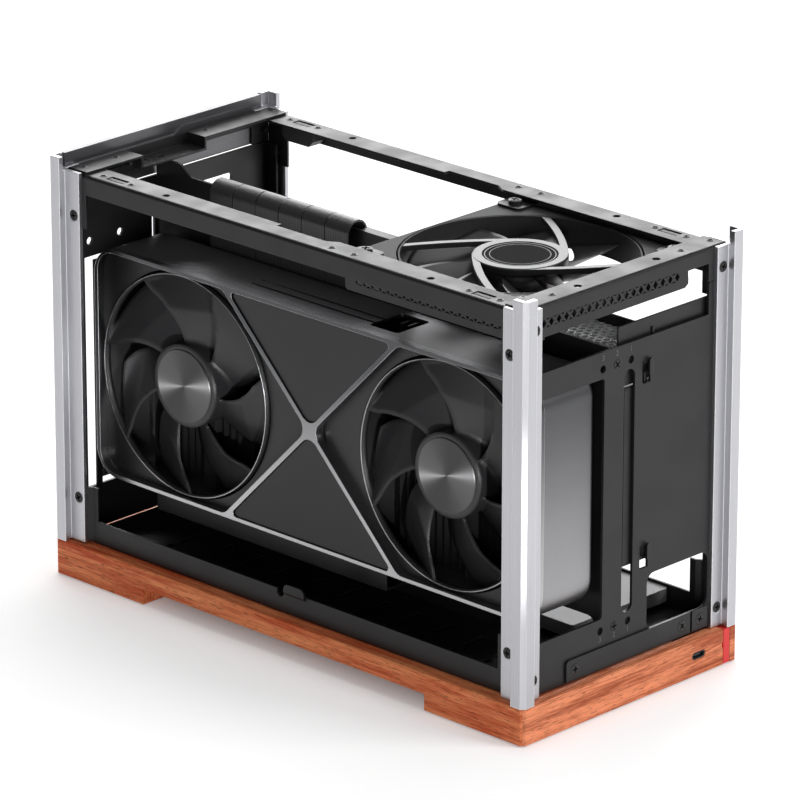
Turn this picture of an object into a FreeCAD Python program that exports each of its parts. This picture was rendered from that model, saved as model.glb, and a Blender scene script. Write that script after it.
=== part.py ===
import FreeCAD, Part
import math
import os

os.makedirs("parts", exist_ok=True)
V = FreeCAD.Vector

# Small sandwich-layout computer case on a wooden plinth, shown open with a graphics card fitted.
# Millimetres. Origin at the bottom centre, +Z up, -Y the front with the USB port,
# -X the graphics card's side, +X the motherboard's side, +Y the rear.

# Whole case
case_length = 326.0
case_width = 155.0
case_height = 224.0
half_length = case_length / 2
half_width = case_width / 2
touch_gap = 0.3
screw_clearance = 0.2
round_end = 0.01
over = 1.0

# Wooden plinth and its rubber pads
plinth_top = 19.5
plinth_chamfer = 2.0
plinth_top_edge = 0.8
pad_proud = 0.8
pad_thickness = 2.0
pad_radius = 9.0
pad_inset = 31.0
arch_end = 65.0
arch_half_length = half_length - arch_end
arch_height = 9.3
well_side = 27.5
well_end = 45.0
well_half_width = half_width - well_side
well_half_length = half_length - well_end
well_corner = 10.0

# Corner posts, an extruded aluminium section with a proud ridge and two sunk flanges
ridge_on_side = 8.3
ridge_on_end = 8.0
ridge_wall = 2.6
flange_sink = 4.0
flange_wall = 2.2
flange_reach_side = 18.2
flange_reach_end = 15.6
flange_top = 217.0
flange_bottom = 20.3
side_screw_inset = 14.1
side_screw_heights = (44.0, 194.4)
end_screw_inset = 11.5
end_screw_heights = (30.2, 206.4)
post_screw_radius = 1.5
post_screw_head = 2.8
post_screw_length = 6.5
countersink_depth = 1.3
frame_plane_x = half_width - flange_sink - flange_wall
frame_plane_y = half_length - flange_sink - flange_wall

# Folded steel sheet
sheet = 1.2
bend_inside = 0.5
bend_outside = bend_inside + sheet

# Long top rails
rail_top = 216.2
rail_web = 10.3
rail_flange = 14.2
rail_end_inset = 13.8
rail_half_length = frame_plane_y - rail_end_inset
rail_ear_bottom = 188.0
rail_ear_end_gap = 1.3
rail_slot_from_end = 18.1
rail_slot_centre = rail_half_length - rail_slot_from_end
rail_slot_length = 12.3
rail_slot_width = 5.0
rail_hole_inset = 5.9
rail_hole_from_end = 52.8
rail_hole_centre = rail_half_length - rail_hole_from_end
rail_hole_radius = 1.9
relief_rear = 18.0
relief_front = -15.7
relief_depth = 3.4
relief_ramp = 8.0
clip_length = 22.0
clip_depth = 8.4
clip_chamfer = 3.0

# Front and rear cross rails
cross_flange = 14.2
front_web_bottom = 209.3
cross_end_gap = 1.5
cross_hole_centre = 27.7
cross_hole_inset = 7.0
cross_hole_radius = 2.0
apron_bottom = 201.2
apron_inset = 28.3
apron_end = frame_plane_x - apron_inset
apron_corner = 3.0
cross_ear_width = 13.3
cross_ear_inner = frame_plane_x - cross_ear_width
cross_ear_bottom = 200.0
lattice_pitch = 5.2
lattice_half_width = 1.75
lattice_half_height = 2.3
lattice_rib = 0.9
lattice_centre = 208.0
rear_dip_start = -31.0
rear_dip_end = 12.0
rear_dip_depth = 6.0
rear_dip_screw = -22.7
rear_dip_hole_pitch = 10.0

# Rear cover bar
cover_wall = 3.0
cover_height = 24.0
cover_top_gap = 0.4
cover_end_gap = 0.6
cover_outer_gap = 0.4
cover_rim_drop = 11.0
cover_low_drop = 7.5
cover_high_drop = 4.0
cover_step_place = 6.0
cover_step_run = 5.0

# Graphics card, about 304 mm long and two slots thick
card_front_gap = 3.8
card_rear_gap = 5.4
card_height = 122.0
card_thickness = 40.0
card_side_gap = 13.5
card_bottom = 53.0
card_front_y = card_front_gap - frame_plane_y
card_rear_y = frame_plane_y - card_rear_gap
card_length = card_rear_y - card_front_y
card_mid_y = (card_front_y + card_rear_y) / 2
card_top = card_bottom + card_height
card_mid_z = card_bottom + card_height / 2
card_face_x = card_side_gap - frame_plane_x
card_back_x = card_face_x + card_thickness

# Plates between the posts
plate = 1.5
card_spine_gap = 7.8
spine_left = card_back_x + card_spine_gap
plate_bottom_gap = 1.4
plate_end_inset = 2.3
plate_reach = frame_plane_x - plate_end_inset
plate_top = 199.5
front_plate_top = 183.3
front_ear_width = 10.5
card_window_side = 6.5
card_window_to_spine = 5.5
card_window_bottom = 46.7
card_window_top = 169.8
window_corner = 2.0
adjust_slot_offset = 8.1
adjust_slot_width = 7.9
adjust_slot_bottom = 45.5
adjust_slot_top = 170.0
low_window_offset = 26.6
low_window_side = 8.0
low_window_bottom = 31.8
low_window_top = 60.8
low_window_corner = 5.0
index_hole_radius = 2.0
index_hole_pitch = 9.9
index_hole_offset = 13.0
index_hole_low = 40.8
index_hole_high = 174.6
hook_offset = 21.0
hook_width = 6.0
hook_height = 12.0
hook_bottoms = (64.8, 159.8)
strap_left_inset = 27.5
strap_right_inset = 21.5
strap_left = strap_left_inset - plate_reach
strap_right = plate_reach - strap_right_inset
strap_low_gap = 0.6
strap_height = 11.0
strap_screw_inset = 6.0
strap_corner = 2.0
strap_end_gap = 1.5
strap_end_width = 11.0
rear_window_side = 6.0
rear_window_to_spine = 6.5
rear_window_bottom = 44.0
rear_window_top = 167.2
rear_slit_offset = -3.6
rear_slit_width = 2.0
rear_slit_bottom = 158.0
rear_slit_top = 182.0
io_window_width = 44.5
io_window_height = 158.8
io_window_offset = 8.5
io_window_bottom = 30.0
rear_hole_height = 175.5
rear_hole_inset = 14.5
rear_hole_pitch = 21.0
plate_screw_radius = 1.5
plate_screw_head = 2.9
plate_screw_sink = 1.0
plate_screw_length = 3.0

# Floor tray
tray_side_gap = 1.8
tray_half_width = frame_plane_x - tray_side_gap
tray_skirt_top = 32.0
tray_end_gap = 0.5
tray_ear_top = 50.0
tray_ear_length = 14.8
tray_ear_start = frame_plane_y - tray_ear_length
tray_ear_overlap = 3.0
tray_jog_run = 2.6
vent_columns = (-52.0, -32.0)
vent_length = 16.0
vent_width = 3.2
vent_pitch = 22.0
vent_count = 11
hook_tab_centre = -3.0
hook_tab_width = 14.0
hook_tab_out = 2.1
hook_tab_top = 36.6
hook_tab_wall = 1.0
hook_tab_bend = 2.0
hook_tab_corner = 3.0
hook_notch_width = 5.0
hook_notch_depth = 4.0
hook_notch_gap = 1.5

# Bulkhead that parts the two chambers, with the motherboard's standoffs
spine_foot = 12.0
spine_top = 203.5
spine_front_top = 183.0
spine_fan_gap = 5.0
spine_step_run = 3.0
spine_rise_inset = 26.8
spine_rise_run = 8.0
spine_rear_top = 209.0
spine_lip = 6.0
spine_lip_length = 33.6
spine_bend = 3.0
spine_gate_top = 43.5
spine_gate_front = 8.3
spine_gate_length = 52.0
spine_gate_corner = 4.5
spine_tab_left = 10.0
spine_tab_right = 17.0
spine_tab_low = 35.5
spine_tab_high = 45.2
standoff_length = 6.35
standoff_radius = 2.75
standoff_bore = 1.25
standoff_bore_depth = 5.0
board_hole_spacing_y = 154.94
board_hole_spacing_z = 157.48
board_hole_inset = 14.0
board_hole_rear = frame_plane_y - board_hole_inset
board_hole_low = 32.0

# Riser cable in six folded strips, with its socket and plug
strip_count = 6
strip_pitch = 16.2
strip_gap = 0.5
strip_from_socket = 99.4
strip_thickness = 1.0
strip_card_gap = 1.6
strip_outer_x = card_back_x + strip_card_gap
strip_crest = 208.0
strip_near_end = 46.0
strip_far_end = 172.0
socket_width = 8.6
socket_height = 13.0
socket_bottom = 39.2
socket_from_rear = 38.4
socket_length = 89.0
socket_end_wall = 1.0
socket_rear = card_rear_y - socket_from_rear
strip_first = socket_rear - strip_from_socket
finger_depth = 7.5
finger_clearance = 0.15
bracket_inset = 11.8
bracket_past_socket = 7.0
bracket_length = 162.0
bracket_rear = socket_rear + bracket_past_socket
bracket_front = bracket_rear - bracket_length
bracket_lip_top = 51.5
bracket_corner = 4.0
plug_board = 1.6
plug_height = 18.0
plug_body = 8.0
plug_body_height = 10.0
plug_body_inset = 5.0
plug_body_lift = 2.0
plug_below_strip = 6.0

# Perforated shelf behind the front plate's top edge
shelf_width = 29.5
shelf_depth = 51.3
shelf_top = 182.4
shelf_lip = 4.0
shelf_tab = 12.0
hex_across = 4.6
hex_rib = 1.2
hex_rows = 5
hex_columns = 6
hex_margin = 6.0

# Drive on the floor, and the bracket hung behind the front plate
drive_width = 69.85
drive_length = 100.0
drive_height = 7.0
drive_corner = 2.0
drive_lift = 2.9
drive_side_gap = 0.3
drive_front_inset = 31.3
drive_foot_radius = 4.0
drive_foot_inset = 10.0
hung_offset = 10.5
hung_width = 61.0
hung_low = 68.0
hung_high = 160.0
hung_depth = 34.0
hung_gap = 0.3
hung_tab_width = 2.6
hung_tab_height = 8.0
hung_tab_lift = 5.0
hung_tab_proud = 0.8

# Case fan
fan_size = 120.0
fan_depth = 25.0
fan_front_gap = 9.8
fan_centre_y = fan_front_gap + fan_size / 2 - frame_plane_y
fan_top = 212.0
fan_plate = 3.0
fan_corner = 9.0
fan_bore = 58.0
fan_barrel_wall = 1.7
fan_hole_half_spacing = 52.5
fan_hole_radius = 2.15
fan_boss_radius = 21.5
fan_boss_depth = 4.7
fan_arm_depth = 2.6
fan_arm_count = 4
fan_arm_width = 5.6
fan_arm_sweep = 44.0
fan_shaft = 1.5
fan_shaft_clearance = 0.05
fan_shaft_depth = 3.5
fan_hub_radius = 20.5
fan_hub_gap = 0.6
fan_blade_count = 9
fan_blade_tip = 56.4
fan_blade_height = 14.0
fan_blade_sweep = 24.0
fan_blade_span = 34.0
fan_screw_head = 3.4
fan_screw_head_height = 1.8
fan_screw_radius = 2.0
fan_screw_length = 7.0

# Side brackets that hang the case fan under the rails
hanger_past_centre = 49.0
hanger_arm_past_centre = 62.0
hanger_rear = fan_centre_y + hanger_past_centre
hanger_arm_rear = fan_centre_y + hanger_arm_past_centre
hanger_corner = 2.0
hanger_tab_corner = 3.0
hanger_bottom = 199.7
hanger_arm_bottom = 207.0
hanger_tab_half = 8.0
hanger_tab_over = 6.0
hanger_lattice_centre = 206.0

# Graphics card's shroud, fans and heat sink
card_corner = 15.0
card_wall = 1.6
card_frame_depth = 4.8
card_back_edge = 3.0
card_back_lip = 5.0
card_rim = 2.0
card_end_rim = 2.4
card_bar = 2.4
card_bay_corner = 11.0
card_bar_corner = 7.0
card_bar_clearance = 6.2
card_panel_sink = 0.9
card_panel_gap = 0.25
card_floor_sink = 4.8
card_floor_wall = 1.2
card_fan_ring = 58.2
card_ring_end_gap = 1.0
card_fan_offset = card_length / 2 - card_end_rim - card_ring_end_gap - card_fan_ring
card_bar_slope = math.degrees(math.asin((card_fan_ring + card_bar_clearance) / card_fan_offset))
card_fan_ring_wall = 1.3
card_fan_ring_depth = 3.0
card_fan_gap = 0.9
card_fan_sink = 3.0
card_hub_radius = 21.5
card_hub_depth = 16.0
card_cap_wall = 0.8
card_blade_count = 7
card_blade_depth = 13.0
card_blade_sweep = 28.0
card_blade_span = 42.0
card_blade_turns = {1: -14.0, -1: -26.0}
blade_wall = 1.3
blade_spare = 1.6
blade_margin = 1.3
blade_curl = 1.3
blade_root = 2.0
card_shaft = 1.5
card_shaft_length = 4.0
card_mount_disc = 17.0
card_mount_bar = 8.0
card_mount_depth = 2.6
card_mount_gap = 0.8
card_fin_pitch = 5.0
card_fin_wall = 1.2
card_fin_base = 2.0
card_fin_count = 20
card_fin_shift = 4.0
card_fin_gap = 0.6
card_core_half = 27.0
card_back_wall = 1.2
card_board_wall = 1.6
card_board_inset = 1.2
card_board_depth = 14.0
card_slot_width = 1.6
card_slot_front = -38.0
card_slot_rear = 52.0
card_slot_insets = (12.2, 19.2)
power_recess_front = -52.0
power_recess_rear = -33.0
power_recess_insets = (9.0, 32.0)
io_bracket_wall = 1.2
io_bracket_inset = 6.3
io_bracket_past_card = 3.3
io_bracket_low = 48.0
io_bracket_high = 165.5
port_width = 6.2
port_height = 17.0
port_pitch = 24.0
port_count = 4
port_gap = 0.3
port_proud = 0.6
port_corner = 0.8
port_hole_corner = 1.0
port_board_gap = 1.0

# USB port, power button and their board, in a pocket of the plinth
pocket_right_wall = 8.3
pocket_width = 32.2
pocket_right = half_width - pocket_right_wall
pocket_left = pocket_right - pocket_width
pocket_front_wall = 7.2
pocket_rear_from_front = 31.0
pocket_rear = pocket_rear_from_front - half_length
pocket_floor = 7.8
io_board = 1.6
usb_from_side = 28.8
usb_centre_x = half_width - usb_from_side
usb_width = 9.0
usb_height = 3.3
usb_wall = 0.4
usb_length = 8.5
usb_hole_gap = 0.4
usb_sink = 0.2
usb_tongue = 0.7
usb_tongue_sink = 1.0
button_from_side = 10.6
button_left = half_width - button_from_side
button_width = 4.4
button_depth = 4.4
button_slot_gap = 0.35
button_travel = 1.0
button_low_gap = 0.3
button_stem = 1.5
button_stem_gap = 0.3
button_stem_length = 4.2
button_stem_from_side = 10.0
button_stem_x = half_width - button_stem_from_side
switch_width = 5.4
switch_depth = 5.0
switch_gap = 0.1


def place(axis, u, v, w):
    """Point with u and v across the axis, in X, Y, Z order, and w along it."""
    if axis == "x":
        return V(w, u, v)
    if axis == "y":
        return V(u, w, v)
    return V(u, v, w)


def along(axis, length):
    return place(axis, 0, 0, length)


def outline(points, radii, axis, level):
    """Closed wire of straight runs, with a tangent arc of the given radius at each corner."""
    if not isinstance(radii, (list, tuple)):
        radii = [radii] * len(points)
    corners = []
    for i, point in enumerate(points):
        here = V(point[0], point[1], 0)
        before = V(*points[i - 1], 0) - here
        after = V(*points[(i + 1) % len(points)], 0) - here
        before.normalize()
        after.normalize()
        if radii[i] <= 0:
            corners.append((here, here, here))
            continue
        half = before.getAngle(after) / 2
        reach = radii[i] / math.tan(half)
        middle = before + after
        middle.normalize()
        top = here + middle * (radii[i] / math.sin(half) - radii[i])
        corners.append((here + before * reach, top, here + after * reach))
    edges = []
    for i, (start, top, end) in enumerate(corners):
        last = corners[i - 1][2]
        if (start - last).Length > 1e-6:
            edges.append(Part.LineSegment(place(axis, last.x, last.y, level),
                                          place(axis, start.x, start.y, level)).toShape())
        if (end - start).Length > 1e-6:
            edges.append(Part.Arc(*[place(axis, p.x, p.y, level) for p in (start, top, end)]).toShape())
    return Part.Wire(edges)


def prism(points, axis, low, high, radii=0.0):
    """Outline with rounded corners, drawn across the axis and pushed from low to high along it."""
    return Part.Face(outline(points, radii, axis, low)).extrude(along(axis, high - low))


def rectangle(u0, u1, v0, v1):
    return [(u0, v0), (u1, v0), (u1, v1), (u0, v1)]


def slab(axis, u0, u1, v0, v1, low, high, radii=0.0):
    return prism(rectangle(u0, u1, v0, v1), axis, low, high, radii)


def rod(axis, u, v, radius, low, high):
    return Part.makeCylinder(radius, high - low, place(axis, u, v, low), along(axis, 1))


def mirror_x(shape):
    return shape.mirror(V(0, 0, 0), V(1, 0, 0))


def mirror_y(shape):
    return shape.mirror(V(0, 0, 0), V(0, 1, 0))


def moved_y(shape, distance):
    copy = shape.copy()
    copy.translate(V(0, distance, 0))
    return copy


def save(name, shape):
    """Check that every solid is sound, then write the piece."""
    clean = shape.removeSplitter()
    if not clean.Solids or not clean.isValid():
        raise ValueError("unsound solid: " + name)
    clean.exportStep("parts/" + name + ".step")


def lattice(first, last, centre, axis, low, high):
    """Row of diamonds with half diamonds between them, the crossed ribs of a perforated band."""
    tools = []
    count = int((last - first) / lattice_pitch)
    half_gap = lattice_pitch / 2 - lattice_half_width
    for i in range(count):
        middle = first + lattice_pitch * (i + 0.5)
        diamond = [(middle - lattice_half_width, centre), (middle, centre - lattice_half_height),
                   (middle + lattice_half_width, centre), (middle, centre + lattice_half_height)]
        tools.append(prism(diamond, axis, low, high))
        if i == count - 1:
            continue
        between = middle + lattice_pitch / 2
        reach = lattice_half_width * (1 - lattice_rib / lattice_half_height / 2)
        for side in (-1, 1):
            edge = centre + side * lattice_half_height
            tip = centre + side * lattice_rib * lattice_pitch / lattice_half_width / 2
            tools.append(prism([(between - reach - half_gap / 2, edge), (between + reach + half_gap / 2, edge),
                                (between, tip)], axis, low, high))
    return tools


def blade_row(axis, centre, hub, tip, count, front, depth, sweep, span):
    """Blades trimmed from a sheet ruled between three slanted lines, to an outline that turns towards the tip."""
    lean = math.radians(sweep / 2)
    half_span = math.radians(span / 2)
    wall = math.copysign(blade_wall, depth)
    spare = math.copysign(blade_spare, depth)
    rise = (depth - wall) / 2

    def turn(share):
        return math.radians(sweep) * share ** blade_curl - lean

    def point(radius, angle):
        return place(axis, centre[0] - radius * math.cos(angle), centre[1] + radius * math.sin(angle),
                     front - spare)

    rays = [(hub, turn(0.0)), ((hub + tip) / 2, turn(0.5)), (tip, turn(1.0))]
    first = [point(radius, angle - half_span) for radius, angle in rays]
    last = [point(radius, angle + half_span) for radius, angle in rays]
    edges = [Part.Arc(*first).toShape(), Part.Arc(first[2], point(*rays[2]), last[2]).toShape(),
             Part.Arc(*last[::-1]).toShape(), Part.LineSegment(last[0], first[0]).toShape()]
    trim = Part.Face(Part.Wire(edges)).extrude(along(axis, depth + 2 * spare))
    lines = []
    for radius, angle in rays:
        middle = radius * math.sin(angle)
        reach = radius * math.sin(half_span) * blade_margin
        out = hub / 2 if radius == hub else radius
        ends = [place(axis, centre[0] - out, centre[1] + middle + side * reach,
                      front + rise - side * rise * blade_margin) for side in (-1, 1)]
        lines.append(Part.Wire(Part.LineSegment(*ends).toShape()))
    sheets = [face.extrude(along(axis, wall)) for face in Part.makeLoft(lines, False, True).Faces]
    blade = sheets[0].fuse(sheets[1:]).common(trim)
    blades = []
    for i in range(count):
        copy = blade.copy()
        copy.rotate(place(axis, centre[0], centre[1], 0), along(axis, 1), 360.0 * i / count)
        blades.append(copy)
    return blades


# Wooden plinth: routed from one board, arched under its long sides, with a well in the middle
def plinth():
    c = plinth_chamfer
    ring = [(-half_width + c, -half_length), (half_width - c, -half_length), (half_width, -half_length + c),
            (half_width, half_length - c), (half_width - c, half_length), (-half_width + c, half_length),
            (-half_width, half_length - c), (-half_width, -half_length + c)]
    body = prism(ring, "z", pad_proud, plinth_top)
    upper = [e for e in body.Edges if all(abs(v.Z - plinth_top) < 1e-6 for v in e.Vertexes)]
    body = body.makeChamfer(plinth_top_edge, upper)
    cuts = [slab("x", -arch_half_length, arch_half_length, 0, arch_height, -case_width, case_width)]
    cuts.append(slab("z", -well_half_width, well_half_width, -well_half_length, well_half_length,
                     0, case_height, well_corner))
    for x, y in pad_places():
        cuts.append(rod("z", x, y, pad_radius + screw_clearance, 0, pad_thickness))
    front = -half_length
    cuts.append(slab("z", pocket_left, pocket_right, front + pocket_front_wall, pocket_rear,
                     pocket_floor, case_height))
    hole_w = usb_width / 2 + usb_hole_gap
    hole_h = usb_height / 2 + usb_hole_gap
    cuts.append(slab("y", usb_centre_x - hole_w, usb_centre_x + hole_w, usb_height_mid() - hole_h,
                     usb_height_mid() + hole_h, front - 1, front + pocket_front_wall + 1, hole_h - round_end))
    cuts.append(slab("z", button_left - button_slot_gap, button_left + button_width + button_slot_gap,
                     front - 1, button_slot_back(), 0, case_height))
    cuts.append(rod("y", button_stem_x, usb_height_mid(), button_stem + button_stem_gap,
                    front, front + pocket_front_wall + 1))
    return body.cut(cuts)


def pad_places():
    x = half_width - pad_inset / 2
    y = half_length - pad_inset
    return [(-x, -y), (x, -y), (-x, y), (x, y)]


def foot_pads():
    return Part.makeCompound([rod("z", x, y, pad_radius, 0, pad_thickness) for x, y in pad_places()])


def usb_height_mid():
    return pocket_floor + io_board + usb_height / 2


def button_slot_back():
    return -half_length + button_depth + button_travel + button_slot_gap


# Corner post: ridge along the whole height, sunk flanges that stop short at both ends
def post():
    def corner(points):
        return [(half_width - u, half_length - v) for u, v in points]

    c = plinth_chamfer
    sunk = flange_sink + flange_wall
    ridge = corner([(c, 0), (ridge_on_end, 0), (ridge_on_end, ridge_wall), (ridge_wall, ridge_wall),
                    (ridge_wall, ridge_on_side), (0, ridge_on_side), (0, c)])
    body = corner([(c, 0), (ridge_on_end, 0), (ridge_on_end, flange_sink), (flange_reach_end, flange_sink),
                   (flange_reach_end, sunk), (sunk, sunk), (sunk, flange_reach_side),
                   (flange_sink, flange_reach_side), (flange_sink, ridge_on_side), (0, ridge_on_side), (0, c)])
    shape = prism(ridge, "z", plinth_top, case_height).fuse(prism(body, "z", flange_bottom, flange_top))
    return shape.cut([screw_hole(axis, u, v) for axis, u, v in post_screw_places()])


def post_screw_places():
    side = [("x", half_length - side_screw_inset, z) for z in side_screw_heights]
    end = [("y", half_width - end_screw_inset, z) for z in end_screw_heights]
    return side + end


def flange_face(axis):
    return (half_width if axis == "x" else half_length) - flange_sink


def sunk_screw(axis, u, v, face, head, radius, sink, length, room=0.0):
    """Flat-headed screw flush with a face, or with room given the countersunk hole for it."""
    cone = Part.makeCone(head + room, radius + room, sink, place(axis, u, v, face), along(axis, -1))
    return cone.fuse(rod(axis, u, v, radius + room, face - length, face - sink))


def screw_hole(axis, u, v):
    return sunk_screw(axis, u, v, flange_face(axis), post_screw_head, post_screw_radius, countersink_depth,
                      2 * flange_wall, screw_clearance)


def post_screw(axis, u, v):
    return sunk_screw(axis, u, v, flange_face(axis), post_screw_head, post_screw_radius, countersink_depth,
                      post_screw_length)


def ear_hole(axis, u, v):
    face = flange_face(axis)
    return rod(axis, u, v, post_screw_radius + screw_clearance, face - 3 * flange_wall, face)


# Long rail: an angle with ears that drop behind the posts' flanges
def long_rail():
    x = frame_plane_x
    section = [(x, rail_top - rail_web), (x, rail_top), (x - rail_flange, rail_top),
               (x - rail_flange, rail_top - sheet), (x - sheet, rail_top - sheet), (x - sheet, rail_top - rail_web)]
    body = prism(section, "y", -rail_half_length, rail_half_length, [0, bend_outside, 0, 0, bend_inside, 0])
    ear_end = frame_plane_y - rail_ear_end_gap
    ear = slab("x", rail_half_length - 1, ear_end, rail_ear_bottom, rail_top - bend_outside, x - sheet, x)
    body = body.fuse([ear, mirror_y(ear)])
    inner = x - rail_flange
    cuts = [prism([(inner - 1, relief_rear), (inner + relief_depth, relief_rear),
                   (inner + relief_depth, relief_front), (inner - 1, relief_front - relief_ramp)], "z",
                  rail_top - 2 * sheet, rail_top + 1)]
    mid = x - rail_hole_inset
    for side in (-1, 1):
        y = side * rail_slot_centre
        cuts.append(slab("z", mid - rail_slot_width / 2, mid + rail_slot_width / 2,
                         y - rail_slot_length / 2, y + rail_slot_length / 2, rail_top - 2 * sheet, rail_top + 1))
        cuts.append(rod("z", mid, side * rail_hole_centre, rail_hole_radius, rail_top - 2 * sheet, rail_top + 1))
        cuts.append(ear_hole("x", side * (half_length - side_screw_inset), side_screw_heights[1]))
    return body.cut(cuts)


def panel_clips():
    """Spring catches under the rails' slots, which hold the side panels."""
    x = frame_plane_x
    top = rail_top - sheet
    low = top - clip_depth
    clips = []
    for y in (-rail_slot_centre, rail_slot_centre):
        half = clip_length / 2
        shape = prism([(y - half, top), (y - half, low + clip_chamfer), (y - half + clip_chamfer, low),
                       (y + half - clip_chamfer, low), (y + half, low + clip_chamfer), (y + half, top)],
                      "x", x - rail_hole_inset - rail_slot_width, x - sheet - bend_inside)
        catch_half = rail_slot_length / 2 - touch_gap
        catch_x = x - rail_hole_inset
        catch = slab("z", catch_x - rail_slot_width / 4, catch_x + rail_slot_width / 4,
                     y - catch_half, y + catch_half, top - 1, rail_top - touch_gap)
        shape = shape.fuse(catch)
        clips += [shape, mirror_x(shape)]
    return Part.makeCompound(clips)


def cross_rail_angle(web_bottom, low_reach):
    """Angle across the case, its flange lying on the long rails' flanges."""
    y = frame_plane_y
    top = rail_top + sheet
    section = [(y, web_bottom), (y, top), (y - cross_flange, top), (y - cross_flange, rail_top),
               (y - sheet, rail_top), (y - sheet, web_bottom)]
    reach = frame_plane_x - cross_end_gap
    body = prism(section, "x", -reach, reach, [0, bend_outside, 0, 0, bend_inside, 0])
    ear = slab("y", cross_ear_inner, reach, low_reach, web_bottom + 1, y - sheet, y)
    holes = [ear_hole("y", side * (half_width - end_screw_inset), end_screw_heights[1]) for side in (-1, 1)]
    return body.fuse([ear, mirror_x(ear)]).cut(holes)


def front_rail():
    y = frame_plane_y
    body = cross_rail_angle(front_web_bottom, cross_ear_bottom)
    reach = frame_plane_x - cross_end_gap
    apron = prism([(-reach, front_web_bottom + 1), (-reach, apron_bottom), (apron_end, apron_bottom),
                   (apron_end, front_web_bottom + 1)], "y", y - sheet, y, [0, 0, apron_corner, 0])
    start = -(half_width - flange_reach_end) + lattice_rib
    cuts = lattice(start, apron_end - lattice_rib, lattice_centre, "y", y - 2 * sheet, y + 1)
    top = rail_top + sheet
    cuts.append(ear_hole("y", end_screw_inset - half_width, end_screw_heights[1]))
    for side in (-1, 1):
        cuts.append(rod("z", side * cross_hole_centre, y - cross_hole_inset, cross_hole_radius,
                        rail_top - 1, top + 1))
    return mirror_y(body.fuse(apron).cut(cuts))


def rear_rail():
    """Rear angle, whose middle dips below the other rails to pass cables."""
    y = frame_plane_y
    top = rail_top + sheet
    body = cross_rail_angle(front_web_bottom, cross_ear_bottom)
    low_top = top - rear_dip_depth
    gap = slab("z", rear_dip_start, rear_dip_end, y - cross_flange - 1, y - sheet, rail_top - 1, top + 1)
    saddle = prism([(rear_dip_start, top), (rear_dip_start - sheet, top), (rear_dip_start - sheet, low_top - sheet),
                    (rear_dip_end + sheet, low_top - sheet), (rear_dip_end + sheet, top), (rear_dip_end, top),
                    (rear_dip_end, low_top), (rear_dip_start, low_top)], "y", y - cross_flange, y - sheet)
    holes = [rod("z", rear_dip_screw + side * rear_dip_hole_pitch, y - cross_flange / 2, cross_hole_radius,
                 low_top - 2 * sheet, low_top + 1) for side in (-1, 1)]
    return body.cut(gap).fuse(saddle).cut(holes)


def rear_cover():
    """Bar across the back's top, milled from plate, with a step in its inner face."""
    outer = half_length - cover_outer_gap
    reach = half_width - ridge_on_end - cover_end_gap
    top = case_height - cover_top_gap
    low = case_height - cover_height
    skin = slab("y", -reach, reach, low, top, outer - cover_wall, outer)
    rim_reach = half_width - flange_reach_end - cover_end_gap
    rim_top = case_height - cover_rim_drop
    step_low = case_height - cover_low_drop
    step_high = case_height - cover_high_drop
    rim = slab("y", -rim_reach, rim_reach, low, rim_top, frame_plane_y, outer - cover_wall)
    step = prism([(-rim_reach, rim_top), (rim_reach, rim_top), (rim_reach, step_high),
                  (cover_step_place + cover_step_run, step_high), (cover_step_place, step_low),
                  (-rim_reach, step_low)], "y", outer - cover_wall - sheet, outer - cover_wall)
    return skin.fuse([rim, step])


# Front plate: one sheet with the card's window, an adjusting slot and a low opening
def front_plate():
    low = plinth_top + plate_bottom_gap
    reach = plate_reach
    ear = reach - front_ear_width
    window = card_window_side - reach
    ring = [(-reach, low), (reach, low), (reach, plate_top), (ear, plate_top), (ear, front_plate_top),
            (window, front_plate_top), (window, plate_top), (-reach, plate_top)]
    back = frame_plane_y - plate
    face = frame_plane_y
    body = prism(ring, "y", back, face)
    slot = spine_left + adjust_slot_offset
    hook = spine_left + hook_offset
    cuts = [slab("y", window, spine_left - card_window_to_spine, card_window_bottom, card_window_top,
                 back - over, face + over, window_corner),
            slab("y", slot, slot + adjust_slot_width, adjust_slot_bottom, adjust_slot_top,
                 back - over, face + over, adjust_slot_width / 2 - round_end),
            slab("y", spine_left + low_window_offset, reach - low_window_side, low_window_bottom, low_window_top,
                 back - over, face + over, low_window_corner)]
    for z in hook_bottoms:
        cuts.append(slab("y", hook, hook + hook_width, z, z + hook_height, back - over, face + over))
    for z in (index_hole_low, index_hole_high):
        for i in (0, 2):
            x = spine_left + index_hole_offset - i * index_hole_pitch
            cuts.append(rod("y", x, z, index_hole_radius, back - over, face + over))
    cuts += [front_screw(x, z, face + stand, screw_clearance) for x, z, stand in front_screw_places()]
    for side in (-1, 1):
        cuts.append(ear_hole("y", side * (half_width - end_screw_inset), end_screw_heights[0]))
    return mirror_y(body.cut(cuts))


def strap_box():
    low = plinth_top + plate_bottom_gap + strap_low_gap
    return low, low + strap_height


def front_screw_places():
    """Screws of the front plate: x, z and how far a strap lifts the head off the plate."""
    index_x = spine_left + index_hole_offset - index_hole_pitch
    low, high = strap_box()
    middle = (low + high) / 2
    end_left = strap_right + strap_end_gap
    return [(index_x, index_hole_low, 0.0), (index_x, index_hole_high, 0.0),
            (strap_left + strap_screw_inset, middle, sheet), (strap_right - strap_screw_inset, middle, sheet),
            (end_left + strap_end_width / 2, middle, sheet)]


def front_screw(x, z, face, room=0.0):
    return sunk_screw("y", x, z, face, plate_screw_head, plate_screw_radius, plate_screw_sink,
                      plate_screw_length, room)


def front_straps():
    low, high = strap_box()
    face = frame_plane_y
    holes = [front_screw(x, z, face + stand, screw_clearance) for x, z, stand in front_screw_places() if stand]
    strap = slab("y", strap_left, strap_right, low, high, face, face + sheet, [0, 0, 0, strap_corner]).cut(holes)
    end_left = strap_right + strap_end_gap
    end = slab("y", end_left, end_left + strap_end_width, low, high, face, face + sheet).cut(holes)
    return mirror_y(strap), mirror_y(end)


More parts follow.
